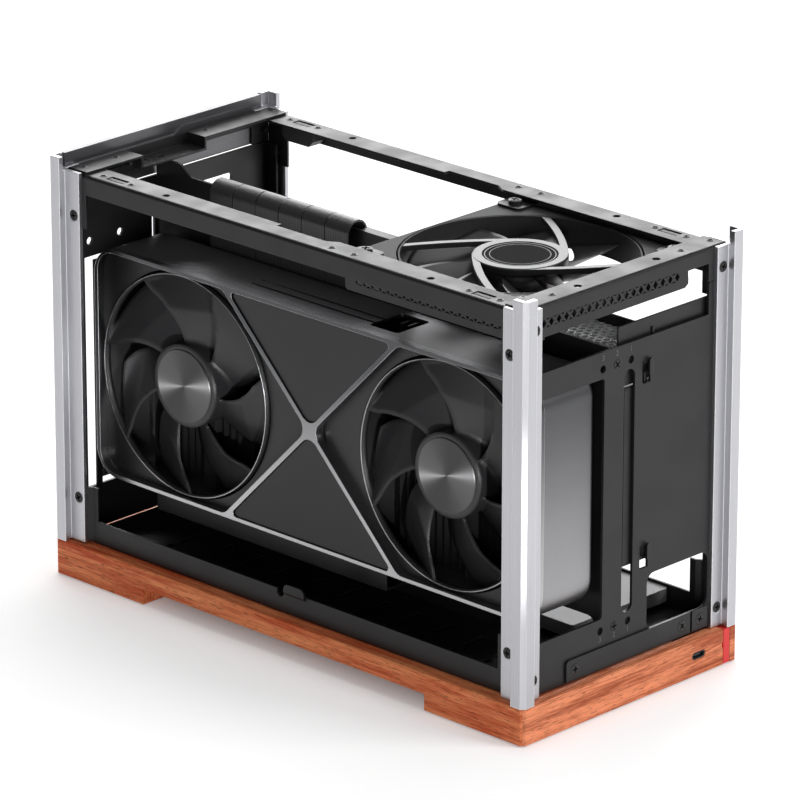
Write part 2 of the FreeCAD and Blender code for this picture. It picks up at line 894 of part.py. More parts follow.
def front_screws():
    screws = [front_screw(x, z, frame_plane_y + stand) for x, z, stand in front_screw_places()]
    return mirror_y(Part.makeCompound(screws))


def rear_plate():
    low = plinth_top + plate_bottom_gap
    back = frame_plane_y - plate
    face = frame_plane_y
    body = slab("y", -plate_reach, plate_reach, low, plate_top, back, face)
    board = spine_left + io_window_offset
    slit = spine_left + rear_slit_offset
    cuts = [slab("y", rear_window_side - plate_reach, spine_left - rear_window_to_spine, rear_window_bottom,
                 rear_window_top, back - over, face + over, window_corner),
            slab("y", board, board + io_window_width, io_window_bottom, io_window_bottom + io_window_height,
                 back - over, face + over, window_corner),
            slab("y", slit, slit + rear_slit_width, rear_slit_bottom, rear_slit_top, back - over, face + over)]
    for i in range(2):
        cuts.append(rod("y", rear_hole_inset - frame_plane_x + i * rear_hole_pitch, rear_hole_height,
                        index_hole_radius, back - over, face + over))
    for side in (-1, 1):
        cuts.append(ear_hole("y", side * (half_width - end_screw_inset), end_screw_heights[0]))
    return body.cut(cuts)


# Floor tray: a shallow folded channel, with ears that jog out behind the posts' flanges
def tray_hook():
    """Catch for the side panel, jogged out of the skirt's top edge, and the notch beside it."""
    w = tray_half_width
    out = w + hook_tab_out
    top = tray_skirt_top
    low = top - hook_tab_bend
    front = hook_tab_centre - hook_tab_width / 2
    rear = hook_tab_centre + hook_tab_width / 2
    side = [(w - sheet, low), (w, low), (out, top), (out, hook_tab_top), (out - hook_tab_wall, hook_tab_top),
            (out - hook_tab_wall, top + sheet), (w - sheet, top)]
    face = slab("x", front, rear, low - over, hook_tab_top, w - 2 * sheet, out + over,
                [0, 0, hook_tab_corner, hook_tab_corner])
    tab = prism(side, "y", front, rear).common(face)
    start = rear + hook_notch_gap
    ends = hook_notch_width / 2 - round_end
    notch = slab("x", start, start + hook_notch_width, top - hook_notch_depth, top + over, w - 2 * sheet,
                 w + over, [ends, ends, 0, 0])
    return tab, notch


def floor_tray():
    w = tray_half_width
    low = plinth_top
    section = [(-w, low), (w, low), (w, tray_skirt_top), (w - sheet, tray_skirt_top), (w - sheet, low + sheet),
               (-w + sheet, low + sheet), (-w + sheet, tray_skirt_top), (-w, tray_skirt_top)]
    radii = [bend_outside, bend_outside, 0, 0, bend_inside, bend_inside, 0, 0]
    channel = prism(section, "y", -tray_ear_start, tray_ear_start, radii)
    reach = frame_plane_y - plate - tray_end_gap
    floor = slab("z", -w + bend_outside, w - bend_outside, -reach, reach, low, low + sheet)
    x = frame_plane_x
    jog = tray_ear_start + tray_jog_run
    ear_end = frame_plane_y - rail_ear_end_gap
    root = tray_ear_start - tray_ear_overlap
    ear_plan = [(w, root), (w, tray_ear_start), (x, jog), (x, ear_end), (x - sheet, ear_end),
                (x - sheet, jog + bend_inside), (w - sheet, tray_ear_start + bend_inside), (w - sheet, root)]
    ear = prism(ear_plan, "z", low + bend_outside, tray_ear_top)
    ears = [ear, mirror_x(ear), mirror_y(ear), mirror_x(mirror_y(ear))]
    tab, notch = tray_hook()
    body = channel.fuse([floor, tab, mirror_x(tab)] + ears).cut([notch, mirror_x(notch)])
    cuts = []
    for column in vent_columns:
        for i in range(vent_count):
            y = (i - (vent_count - 1) / 2) * vent_pitch
            cuts.append(slab("z", column - vent_length / 2, column + vent_length / 2, y - vent_width / 2,
                             y + vent_width / 2, low - 1, low + 2 * sheet))
    for side in (-1, 1):
        cuts.append(ear_hole("x", side * (half_length - side_screw_inset), side_screw_heights[0]))
    cuts += [mirror_x(c) for c in cuts[-2:]]
    return body.cut(cuts)


# Bulkhead: a sheet with a foot along the floor, a lip along its top and a low gate near its front
def spine_plate():
    left = spine_left
    right = spine_left + plate
    low = plinth_top + sheet
    end = frame_plane_y - plate
    step = fan_centre_y + fan_size / 2 + spine_fan_gap
    rise = frame_plane_y - spine_rise_inset
    ring = [(-end, low), (end, low), (end, spine_rear_top), (rise + spine_rise_run, spine_rear_top),
            (rise, spine_top), (step, spine_top), (step - spine_step_run, spine_front_top), (-end, spine_front_top)]
    body = prism(ring, "x", left, right, [0, 0, 0, spine_bend, spine_bend, 0, 0, 0])
    gate_front = spine_gate_front - end
    gate_rear = gate_front + spine_gate_length
    foot = slab("z", left, left + spine_foot, gate_rear, end, low, low + sheet)
    lip = slab("z", left, left + spine_lip, step, step + spine_lip_length, spine_top - sheet, spine_top)
    tab = slab("y", left - spine_tab_left, left + spine_tab_right, spine_tab_low, spine_tab_high, -end, sheet - end)
    gate = slab("x", gate_front, gate_rear, low - over, spine_gate_top, left - over, right + over,
                [0, 0, spine_gate_corner, spine_gate_corner])
    screw = mirror_y(front_screw(spine_left + index_hole_offset - index_hole_pitch, index_hole_low,
                                 frame_plane_y, screw_clearance))
    return body.fuse([foot, lip, tab]).cut([gate, screw])


def standoff_places():
    return [(y, z) for y in (board_hole_rear - board_hole_spacing_y, board_hole_rear)
            for z in (board_hole_low, board_hole_low + board_hole_spacing_z)]


def board_standoffs():
    start = spine_left + plate
    end = start + standoff_length
    pillars = []
    for y, z in standoff_places():
        pillar = rod("x", y, z, standoff_radius, start, end)
        pillars.append(pillar.cut(rod("x", y, z, standoff_bore, end - standoff_bore_depth, end + 1)))
    return Part.makeCompound(pillars)


# Riser: flat strips that rise behind the card, fold over the bulkhead and drop to the board's side
def riser_strips():
    left = strip_outer_x
    right = 2 * (spine_left + plate / 2) - strip_outer_x
    bend = (right - left) / 2 - round_end
    t = strip_thickness
    outer = prism(rectangle(left, right, strip_near_end, strip_crest), "y", 0, strip_pitch - strip_gap,
                  [0, 0, bend, bend])
    inner = prism(rectangle(left + t, right - t, strip_near_end - 1, strip_crest - t), "y", -1, strip_pitch,
                  [0, 0, bend - t, bend - t])
    spare = slab("y", right - 2 * t, right + 1, strip_near_end - 1, strip_far_end, -1, strip_pitch)
    strip = outer.cut([inner, spare])
    return Part.makeCompound([moved_y(strip, strip_first + i * strip_pitch) for i in range(strip_count)])


def card_board_x():
    return card_face_x + card_thickness - card_back_wall - card_board_inset - card_board_wall


def riser_socket():
    right = strip_outer_x
    body = slab("y", right - socket_width, right, socket_bottom, socket_bottom + socket_height,
                socket_rear - socket_length, socket_rear)
    x = card_board_x()
    top = socket_bottom + socket_height
    groove = slab("y", x - finger_clearance, x + card_board_wall + finger_clearance,
                  top - finger_depth, top + over, socket_rear - socket_length + socket_end_wall,
                  socket_rear - socket_end_wall)
    return body.cut(groove)


def riser_bracket():
    """Folded angle that carries the riser's socket off the bulkhead."""
    left = card_face_x + bracket_inset
    top = socket_bottom
    lip = prism([(bracket_front, top - sheet), (bracket_rear, top - sheet), (bracket_rear, bracket_lip_top),
                 (bracket_front, bracket_lip_top)], "x", left, left + sheet, [0, 0, bracket_corner, bracket_corner])
    floor = slab("z", left, spine_left, bracket_front, bracket_rear, top - sheet, top)
    return lip.fuse(floor)


def riser_plug():
    start = 2 * (spine_left + plate / 2) - strip_outer_x
    front = strip_first
    rear = strip_first + strip_count * strip_pitch - strip_gap
    low = strip_far_end - plug_below_strip
    board = slab("x", front, rear, low, low + plug_height, start, start + plug_board)
    lift = low + plug_body_lift
    body = slab("x", front + plug_body_inset, rear - plug_body_inset, lift, lift + plug_body_height,
                start + plug_board, start + plug_board + plug_body)
    return board.fuse(body)


def vent_shelf():
    """Shelf with a honeycomb of holes, a tab down the front plate's back and an upturned lip."""
    left = spine_left + plate
    right = left + shelf_width
    front = plate - frame_plane_y
    rear = front + shelf_depth
    low = shelf_top - sheet
    body = slab("z", left, right, front, rear, low, shelf_top)
    lip = slab("z", right - sheet, right, front, rear, low, shelf_top + shelf_lip)
    tab = slab("y", left, right, low - shelf_tab, shelf_top, front, front + sheet)
    holes = []
    pitch = hex_across + hex_rib
    radius = hex_across / math.sqrt(3)
    for row in range(hex_rows):
        for column in range(hex_columns):
            x = left + hex_margin + row * pitch * math.sqrt(3) / 2
            y = front + hex_margin + (column + 0.5 * (row % 2)) * pitch
            ring = [(x + radius * math.cos(math.radians(60 * k)), y + radius * math.sin(math.radians(60 * k)))
                    for k in range(6)]
            holes.append(prism(ring, "z", low - 1, shelf_top + 1))
    holes.append(rod("y", spine_left + index_hole_offset - index_hole_pitch, index_hole_high,
                     index_hole_radius, front - over, front + 2 * sheet))
    return body.fuse([lip, tab]).cut(holes)


# Drive lying on rubber feet on the tray, inside the skirt
def drive_box():
    right = tray_half_width - sheet - drive_side_gap
    front = drive_front_inset - frame_plane_y
    return right - drive_width, right, front, front + drive_length


def drive():
    left, right, front, rear = drive_box()
    low = plinth_top + sheet + drive_lift
    return slab("z", left, right, front, rear, low, low + drive_height, drive_corner)


def drive_feet():
    left, right, front, rear = drive_box()
    low = plinth_top + sheet
    return Part.makeCompound([rod("z", x, y, drive_foot_radius, low, low + drive_lift)
                              for x in (left + drive_foot_inset, right - drive_foot_inset)
                              for y in (front + drive_foot_inset, rear - drive_foot_inset)])


def hung_bracket():
    """Folded channel behind the front plate, held by two tabs that pass through the plate's hook holes."""
    left = spine_left + hung_offset
    right = left + hung_width
    face = plate + hung_gap - frame_plane_y
    back = face + hung_depth
    section = [(face, hung_low), (back, hung_low), (back, hung_low + sheet), (face + sheet, hung_low + sheet),
               (face + sheet, hung_high - sheet), (back, hung_high - sheet), (back, hung_high), (face, hung_high)]
    radii = [bend_outside, 0, 0, bend_inside, bend_inside, 0, 0, bend_outside]
    channel = prism(section, "x", left, right, radii)
    hook_right = spine_left + hook_offset + hook_width
    front = -frame_plane_y - hung_tab_proud
    hook_left = hook_right - hung_tab_width
    tabs = []
    for bottom in hook_bottoms:
        z = bottom + hung_tab_lift
        tabs.append(slab("z", hook_left, hook_right - screw_clearance, front, face + sheet, z, z + sheet))
        tabs.append(slab("y", hook_left, hook_right - screw_clearance, z, z + hung_tab_height,
                         front - sheet, front, [0, 0, over, over]))
    tabs.append(slab("y", hook_left, hook_right - screw_clearance, hung_high - bend_outside - sheet,
                     hook_bottoms[1] + hung_tab_lift + sheet, face, face + sheet))
    return channel.fuse(tabs)


# Case fan: moulded frame with a boss on four swept arms, the rotor hung on its shaft below
def fan_arm():
    """Arm as a flat blade between two arcs, tangent to the boss and swept to the frame."""
    inner = fan_boss_radius - 2
    outer = fan_bore + 0.8
    mid = (inner + outer) / 2
    def edge(offset):
        points = []
        for radius, share in ((inner, 0.0), (mid, 0.62), (outer, 1.0)):
            angle = math.radians(fan_arm_sweep * share) + offset * fan_arm_width / 2 / radius
            points.append(V(radius * math.cos(angle), fan_centre_y + radius * math.sin(angle), 0))
        return points
    a = edge(-1)
    b = edge(1)
    ring = Part.Wire([Part.Arc(*a).toShape(), Part.LineSegment(a[2], b[2]).toShape(),
                      Part.Arc(*b[::-1]).toShape(), Part.LineSegment(b[0], a[0]).toShape()])
    arm = Part.Face(ring).extrude(V(0, 0, fan_arm_depth))
    arm.translate(V(0, 0, fan_top - fan_arm_depth))
    return arm


def fan_frame():
    half = fan_size / 2
    low = fan_top - fan_depth
    y = fan_centre_y
    square = rectangle(-half, half, y - half, y + half)
    plates = prism(square, "z", low, low + fan_plate, fan_corner)
    plates = plates.fuse([prism(square, "z", fan_top - fan_plate, fan_top, fan_corner),
                          rod("z", 0, y, fan_bore + fan_barrel_wall, low, fan_top)])
    holes = [rod("z", sx * fan_hole_half_spacing, y + sy * fan_hole_half_spacing, fan_hole_radius, low - 1, fan_top + 1)
             for sx in (-1, 1) for sy in (-1, 1)]
    body = plates.cut([rod("z", 0, y, fan_bore, low - 1, fan_top + 1)] + holes)
    arms = []
    for i in range(fan_arm_count):
        arm = fan_arm()
        arm.rotate(V(0, y, 0), V(0, 0, 1), 360.0 * i / fan_arm_count)
        arms.append(arm)
    boss = rod("z", 0, y, fan_boss_radius, fan_top - fan_boss_depth, fan_top)
    bore = rod("z", 0, y, fan_shaft + fan_shaft_clearance, fan_top - fan_boss_depth - 1,
               fan_top - fan_boss_depth + fan_shaft_depth + touch_gap)
    return body.fuse(arms + [boss]).cut(bore)


def fan_rotor():
    y = fan_centre_y
    top = fan_top - fan_boss_depth - fan_hub_gap
    low = fan_top - fan_depth + 1
    hub = rod("z", 0, y, fan_hub_radius, low, top)
    shaft = rod("z", 0, y, fan_shaft, top - 1, top + fan_hub_gap + fan_shaft_depth)
    blades = blade_row("z", (0, y), fan_hub_radius - blade_root, fan_blade_tip, fan_blade_count, top - 1,
                       -fan_blade_height, fan_blade_sweep, fan_blade_span)
    return hub.fuse([shaft] + blades)


def fan_screws():
    screws = []
    top = fan_top + sheet
    for sx in (-1, 1):
        for sy in (-1, 1):
            x = sx * fan_hole_half_spacing
            y = fan_centre_y + sy * fan_hole_half_spacing
            head = rod("z", x, y, fan_screw_head, top, top + fan_screw_head_height)
            screws.append(head.fuse(rod("z", x, y, fan_screw_radius, top - fan_screw_length, top)))
    return Part.makeCompound(screws)


def fan_hanger():
    """Perforated side bracket inside the rail's web, with tabs over the fan's corners."""
    outer = frame_plane_x - sheet
    front = -rail_half_length
    top = rail_top - sheet - bend_inside
    wall = prism([(front, hanger_bottom), (hanger_rear, hanger_bottom), (hanger_rear, hanger_arm_bottom),
                  (hanger_arm_rear, hanger_arm_bottom), (hanger_arm_rear, top), (front, top)], "x",
                 outer - sheet, outer, [0, hanger_corner, 0, hanger_corner, 0, 0])
    tabs = []
    for side in (-1, 1):
        y = fan_centre_y + side * fan_hole_half_spacing
        front_edge = max(y - hanger_tab_half, front)
        end = fan_hole_half_spacing - hanger_tab_over
        tabs.append(slab("z", end, outer, front_edge, y + hanger_tab_half, fan_top, fan_top + sheet,
                         [hanger_tab_corner, 0, 0, hanger_tab_corner]))
    cuts = [rod("z", fan_hole_half_spacing, fan_centre_y + side * fan_hole_half_spacing,
                fan_screw_radius + fan_shaft_clearance, fan_top - 1, fan_top + 2 * sheet) for side in (-1, 1)]
    cuts += lattice(front + lattice_rib, hanger_rear - lattice_rib, hanger_lattice_centre, "x",
                    outer - 2 * sheet, outer + 1)
    clip_front = -rail_slot_centre - clip_length / 2 - touch_gap
    clip_rear = -rail_slot_centre + clip_length / 2 + touch_gap
    clip_inner = frame_plane_x - rail_hole_inset - rail_slot_width - touch_gap
    cuts.append(slab("x", clip_front, clip_rear, rail_top - sheet - clip_depth - touch_gap, rail_top,
                     clip_inner, outer + 1))
    return wall.fuse(tabs).cut(cuts)


# Graphics card
shell_front_x = card_face_x + card_frame_depth
shell_back_x = card_back_x - card_back_wall


def card_outline(inset):
    return rectangle(card_front_y + inset, card_rear_y - inset, card_bottom + inset, card_top - inset)


def card_shell():
    """Wall round the card, with the power socket's recess and two long slots in its top."""
    body = prism(card_outline(0), "x", shell_front_x, card_back_x, card_corner)
    rim = [e for e in body.Edges if all(abs(v.X - card_back_x) < round_end for v in e.Vertexes)]
    body = body.makeFillet(card_back_edge, rim)
    cuts = [prism(card_outline(card_wall), "x", shell_front_x - over, shell_back_x, card_corner - card_wall),
            prism(card_outline(card_back_lip), "x", shell_back_x - over, card_back_x + over,
                  card_corner - card_back_lip)]
    top = card_top
    for inset in card_slot_insets:
        x = card_face_x + inset
        cuts.append(slab("z", x, x + card_slot_width, card_slot_front, card_slot_rear,
                         top - 2 * card_wall, top + 1))
    cuts.append(slab("z", card_face_x + power_recess_insets[0], card_face_x + power_recess_insets[1],
                     power_recess_front, power_recess_rear, top - 2 * card_wall, top + 1, window_corner))
    board_x = card_board_x()
    cuts.append(slab("z", board_x - finger_clearance, board_x + card_board_wall + finger_clearance,
                     socket_rear - socket_length, socket_rear, card_bottom - over, card_bottom + 2 * card_wall))
    return body.cut(cuts)


def bay_ring(side, inset):
    """Five-sided bay round one fan: straight outside, and two bars that meet near the card's centre."""
    slope = math.tan(math.radians(card_bar_slope))
    half_bar = (card_bar / 2 + inset) / math.sin(math.radians(card_bar_slope))
    low = card_bottom + card_rim + inset
    high = card_top - card_rim - inset
    reach = (high - card_mid_z) / slope + half_bar
    end = card_length / 2 - card_end_rim - inset
    ring = [(half_bar, card_mid_z), (reach, low), (end, low), (end, high), (reach, high)]
    return [(card_mid_y + side * u, v) for u, v in ring]


def bay_radii(inset):
    corner = card_bay_corner - inset
    bar = card_bar_corner
    return [bar, bar, corner, corner, bar]


def centre_ring(side, inset):
    """Triangle between the two bars, above or below the card's centre."""
    slope = math.tan(math.radians(card_bar_slope))
    rise = (card_bar / 2 + inset) / math.cos(math.radians(card_bar_slope))
    high = card_height / 2 - card_rim - inset
    reach = (high - rise) / slope
    return [(card_mid_y, card_mid_z + side * rise), (card_mid_y + reach, card_mid_z + side * high),
            (card_mid_y - reach, card_mid_z + side * high)]


def card_frame():
    body = prism(card_outline(0), "x", card_face_x, shell_front_x, card_corner)
    cuts = [prism(bay_ring(side, 0), "x", card_face_x - 1, shell_front_x + 1, bay_radii(0)) for side in (-1, 1)]
    radii = [card_bar_corner - card_panel_gap, window_corner, window_corner]
    cuts += [prism(centre_ring(side, 0), "x", card_face_x - 1, shell_front_x + 1, radii) for side in (-1, 1)]
    return body.cut(cuts)


def card_panel(side):
    radii = [card_bar_corner, window_corner, window_corner]
    return prism(centre_ring(side, card_panel_gap), "x", card_face_x + card_panel_sink, shell_front_x, radii)


def fan_y(side):
    return card_mid_y + side * card_fan_offset


def card_bay_floor(side):
    front = card_face_x + card_floor_sink
    inset = card_wall + touch_gap
    half = card_length / 2
    ends = sorted([card_mid_y + side * card_core_half / 4, card_mid_y + side * (half - inset)])
    corner = card_corner - card_wall
    radii = [0, corner, corner, 0] if side > 0 else [corner, 0, 0, corner]
    body = slab("x", ends[0], ends[1], card_bottom + inset, card_top - inset, front, front + card_floor_wall, radii)
    hole = rod("x", fan_y(side), card_mid_z, card_fan_ring + card_fan_gap, front - 1, front + card_floor_wall + 1)
    return body.cut(hole)


def card_rotor(side):
    front = card_face_x + card_fan_sink
    y = fan_y(side)
    z = card_mid_z
    hub = rod("x", y, z, card_hub_radius, front, front + card_hub_depth)
    shaft = rod("x", y, z, card_shaft, front + card_hub_depth - 1, front + card_hub_depth + card_shaft_length)
    ring = rod("x", y, z, card_fan_ring, front, front + card_fan_ring_depth)
    ring = ring.cut(rod("x", y, z, card_fan_ring - card_fan_ring_wall, front - 1, front + card_fan_ring_depth + 1))
    blades = blade_row("x", (y, z), card_hub_radius - blade_root, card_fan_ring - card_fan_ring_wall / 2,
                       card_blade_count, front + 1, card_blade_depth, card_blade_sweep, card_blade_span)
    for blade in blades:
        blade.rotate(V(0, y, z), V(-1, 0, 0), card_blade_turns[side])
    return hub.fuse([shaft, ring] + blades)


def card_hub_cap(side):
    front = card_face_x + card_fan_sink
    return rod("x", fan_y(side), card_mid_z, card_hub_radius - card_cap_wall, front - card_cap_wall, front)


def mount_front():
    return card_face_x + card_fan_sink + card_hub_depth + card_mount_gap


def card_motor_mount(side):
    """Disc on an upright bar behind the fan, with the bearing for its shaft."""
    front = mount_front()
    y = fan_y(side)
    bar = slab("x", y - card_mount_bar / 2, y + card_mount_bar / 2, card_bottom + card_wall, card_top - card_wall,
               front, front + card_mount_depth)
    disc = rod("x", y, card_mid_z, card_mount_disc, front, front + card_mount_depth + 1)
    bore = rod("x", y, card_mid_z, card_shaft + fan_shaft_clearance, front - 1, front + card_mount_depth + 2)
    return bar.fuse(disc).cut(bore)


def card_fins(side):
    """Comb of upright fins on a base plate, behind one fan."""
    front = mount_front() + card_mount_depth + 1 + card_fin_gap
    back = shell_back_x - card_board_inset - card_board_wall - card_fin_gap
    width = card_fin_pitch * (card_fin_count - 1) + card_fin_wall
    start = fan_y(side) - width / 2 - side * card_fin_shift
    ring = [(back, start), (back, start + width)]
    for i in reversed(range(card_fin_count)):
        y = start + i * card_fin_pitch
        ring += [(front, y + card_fin_wall), (front, y)]
        if i:
            ring += [(back - card_fin_base, y), (back - card_fin_base, y - card_fin_pitch + card_fin_wall)]
    low = card_bottom + card_wall
    return prism(ring, "z", low, card_top - card_wall)


def card_core():
    """Heat spreader and its cover in the middle of the card."""
    low = card_bottom + card_wall
    back = shell_back_x - card_board_inset - card_board_wall
    front = card_face_x + card_floor_sink + card_floor_wall
    return slab("x", card_mid_y - card_core_half, card_mid_y + card_core_half, low, card_top - 3 * card_wall,
                front, back, [0, 0, card_bar_corner, card_bar_corner])


def card_backplate():
    return prism(card_outline(card_back_lip), "x", shell_back_x, card_back_x, card_corner - card_back_lip)


def card_board():
    """Edge of the circuit board, with the contacts that seat in the riser's socket."""
    x = card_board_x()
    foot = socket_bottom + socket_height - finger_depth + touch_gap
    front = socket_rear - socket_length + socket_end_wall + touch_gap
    rear = socket_rear - socket_end_wall - touch_gap
    tongue = slab("x", front, rear, foot, card_bottom + card_board_depth, x, x + card_board_wall)
    middle = slab("x", card_mid_y - card_core_half, rear, card_bottom + card_wall + touch_gap,
                  card_bottom + card_board_depth, x, x + card_board_wall)
    return tongue.fuse(middle)


def port_places():
    middle = (io_bracket_low + io_bracket_high) / 2
    return [middle + (i - (port_count - 1) / 2) * port_pitch for i in range(port_count)]


def port_x():
    return card_board_x() - port_width - port_board_gap


def card_io_bracket():
    back = frame_plane_y - plate
    body = slab("y", card_face_x + io_bracket_inset, card_back_x + io_bracket_past_card, io_bracket_low,
                io_bracket_high, back - io_bracket_wall, back)
    cuts = []
    for z in port_places():
        cuts.append(slab("y", port_x() - port_gap, port_x() + port_width + port_gap,
                         z - port_height / 2 - port_gap, z + port_height / 2 + port_gap,
                         back - 2 * io_bracket_wall, back + over, port_hole_corner))
    return body.cut(cuts)


def card_ports():
    back = frame_plane_y - plate
    ports = [slab("y", port_x(), port_x() + port_width, z - port_height / 2, z + port_height / 2,
                  card_rear_y, back + port_proud, port_corner) for z in port_places()]
    return Part.makeCompound(ports)


# Front port and power button in the plinth
def usb_c_port():
    front = -half_length + usb_sink
    z = usb_height_mid()
    w = usb_width / 2
    h = usb_height / 2
    tube = slab("y", usb_centre_x - w, usb_centre_x + w, z - h, z + h, front, front + usb_length, h - round_end)
    room = slab("y", usb_centre_x - w + usb_wall, usb_centre_x + w - usb_wall, z - h + usb_wall, z + h - usb_wall,
                front - over, front + usb_length - over, h - usb_wall - round_end)
    tongue = slab("y", usb_centre_x - w / 2, usb_centre_x + w / 2, z - usb_tongue / 2, z + usb_tongue / 2,
                  front + usb_tongue_sink, front + usb_length - usb_wall)
    return tube.cut(room).fuse(tongue)


def front_io_board():
    front = -half_length + pocket_front_wall + touch_gap
    return slab("z", pocket_left + touch_gap, pocket_right - touch_gap, front, pocket_rear - touch_gap,
                pocket_floor, pocket_floor + io_board)


def power_button():
    front = -half_length
    bar = slab("y", button_left, button_left + button_width, pad_proud + button_low_gap, plinth_top - button_low_gap,
               front, front + button_depth)
    stem = rod("y", button_stem_x, usb_height_mid(), button_stem, front + button_depth - 1, stem_end())
    return bar.fuse(stem)


def stem_end():
    return -half_length + button_depth + button_stem_length


def power_switch():
    front = stem_end() + button_travel + switch_gap
    low = pocket_floor + io_board
    right = pocket_right - touch_gap
    return slab("z", right - switch_width, right, front, front + switch_depth, low, low + switch_width)


# Write every piece
save("base_plinth", plinth())
save("foot_pads", foot_pads())
save("floor_tray", floor_tray())
corner_post = post()
save("post_rear_board", corner_post)
save("post_rear_card", mirror_x(corner_post))
save("post_front_board", mirror_y(corner_post))
save("post_front_card", mirror_x(mirror_y(corner_post)))
corner_screws = [post_screw(axis, u, v) for axis, u, v in post_screw_places()]
all_screws = [s for c in corner_screws for s in (c, mirror_x(c), mirror_y(c), mirror_x(mirror_y(c)))]
save("post_screws", Part.makeCompound(all_screws))
save("rail_board_side", long_rail())
save("rail_card_side", mirror_x(long_rail()))
save("panel_clips", panel_clips())
save("rail_front", front_rail())
save("rail_rear", rear_rail())
save("rear_cover", rear_cover())
save("rear_plate", rear_plate())
save("front_plate", front_plate())
strap, strap_end = front_straps()
save("front_strap", strap)
save("front_strap_end", strap_end)
save("front_screws", front_screws())
save("spine_plate", spine_plate())
save("board_standoffs", board_standoffs())
save("riser_strips", riser_strips())
save("riser_socket", riser_socket())
save("riser_bracket", riser_bracket())
save("riser_plug", riser_plug())
save("vent_shelf", vent_shelf())
save("drive", drive())
save("drive_feet", drive_feet())
save("hung_bracket", hung_bracket())
save("fan_frame", fan_frame())
save("fan_rotor", fan_rotor())
save("fan_screws", fan_screws())
hanger = fan_hanger()
save("fan_hanger_board_side", hanger)
save("fan_hanger_card_side", mirror_x(hanger))
save("card_shell", card_shell())
save("card_frame", card_frame())
save("card_panel_top", card_panel(1))
save("card_panel_bottom", card_panel(-1))
for end_name, end_side in (("rear", 1), ("front", -1)):
    save("card_bay_floor_" + end_name, card_bay_floor(end_side))
    save("card_rotor_" + end_name, card_rotor(end_side))
    save("card_hub_cap_" + end_name, card_hub_cap(end_side))
    save("card_motor_mount_" + end_name, card_motor_mount(end_side))
    save("card_fins_" + end_name, card_fins(end_side))
save("card_core", card_core())
save("card_backplate", card_backplate())
save("card_board", card_board())
save("card_io_bracket", card_io_bracket())
save("card_ports", card_ports())
save("usb_c_port", usb_c_port())
save("front_io_board", front_io_board())
save("power_button", power_button())
save("power_switch", power_switch())
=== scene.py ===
import math
import bpy
import numpy as np
from mathutils import Matrix, Vector


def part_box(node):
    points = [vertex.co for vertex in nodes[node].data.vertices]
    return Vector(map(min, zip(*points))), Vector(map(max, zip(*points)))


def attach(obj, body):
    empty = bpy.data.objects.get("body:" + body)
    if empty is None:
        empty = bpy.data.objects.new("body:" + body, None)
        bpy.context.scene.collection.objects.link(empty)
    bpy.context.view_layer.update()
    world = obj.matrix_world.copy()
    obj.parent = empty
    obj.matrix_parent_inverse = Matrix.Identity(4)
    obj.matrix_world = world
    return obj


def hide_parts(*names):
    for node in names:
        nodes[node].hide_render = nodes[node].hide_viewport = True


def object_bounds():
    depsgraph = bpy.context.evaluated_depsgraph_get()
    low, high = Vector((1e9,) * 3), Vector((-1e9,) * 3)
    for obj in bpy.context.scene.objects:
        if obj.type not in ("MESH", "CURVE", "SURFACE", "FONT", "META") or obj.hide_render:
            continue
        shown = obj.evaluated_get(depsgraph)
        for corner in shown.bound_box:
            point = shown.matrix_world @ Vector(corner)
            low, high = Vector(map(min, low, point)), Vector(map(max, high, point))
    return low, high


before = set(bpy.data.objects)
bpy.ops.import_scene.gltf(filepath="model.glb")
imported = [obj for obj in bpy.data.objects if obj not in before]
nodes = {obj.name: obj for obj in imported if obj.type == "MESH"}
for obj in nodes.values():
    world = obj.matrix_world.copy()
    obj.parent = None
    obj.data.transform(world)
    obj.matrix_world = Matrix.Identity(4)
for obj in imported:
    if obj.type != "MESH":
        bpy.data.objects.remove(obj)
cad_low, cad_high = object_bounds()


# Wooden plinth: oiled hardwood boards mitred at the corners round an open well.
# The grain follows each board, the pores stay open, and the edges are planed to a small chamfer.
def add(tree, kind, inputs=None, **settings):
    """Adds a shader node, sets its properties, and fills or links its inputs."""
    made = tree.nodes.new(kind)
    for key, value in settings.items():
        setattr(made, key, value)
    wire(tree, made, inputs or {})
    return made


def wire(tree, made, inputs):
    """Fills the named inputs of a node with values, or links them to sockets."""
    for key, value in inputs.items():
        if isinstance(value, bpy.types.NodeSocket):
            tree.links.new(value, made.inputs[key])
        else:
            made.inputs[key].default_value = value


def calc(tree, operation, a, b=0.0):
    """Socket with a math operation on two values or sockets."""
    return add(tree, "ShaderNodeMath", {0: a, 1: b}, operation=operation).outputs[0]


def blend(tree, share, a, b):
    """Socket with colour a where the share is 0 and colour b where it is 1."""
    made = add(tree, "ShaderNodeMix", {0: share, 6: a, 7: b}, data_type="RGBA")
    return made.outputs[2]


def remap(tree, value, low, high, to_low=0.0, to_high=1.0):
    """Socket with a value moved smoothly from one range to another."""
    made = add(tree, "ShaderNodeMapRange", {0: value, 1: low, 2: high, 3: to_low, 4: to_high},
               interpolation_type="SMOOTHSTEP")
    return made.outputs[0]


def place_at(tree, x=1.0, y=1.0, z=1.0):
    """Socket with the object coordinates, each axis multiplied by its own number."""
    coords = add(tree, "ShaderNodeTexCoord").outputs["Object"]
    return add(tree, "ShaderNodeVectorMath", {0: coords, 1: (x, y, z)}, operation="MULTIPLY").outputs[0]


def noise(tree, vector, scale, detail=2.0):
    """Socket with a noise value near 0.5."""
    return add(tree, "ShaderNodeTexNoise", {"Vector": vector, "Scale": scale, "Detail": detail}).outputs[0]


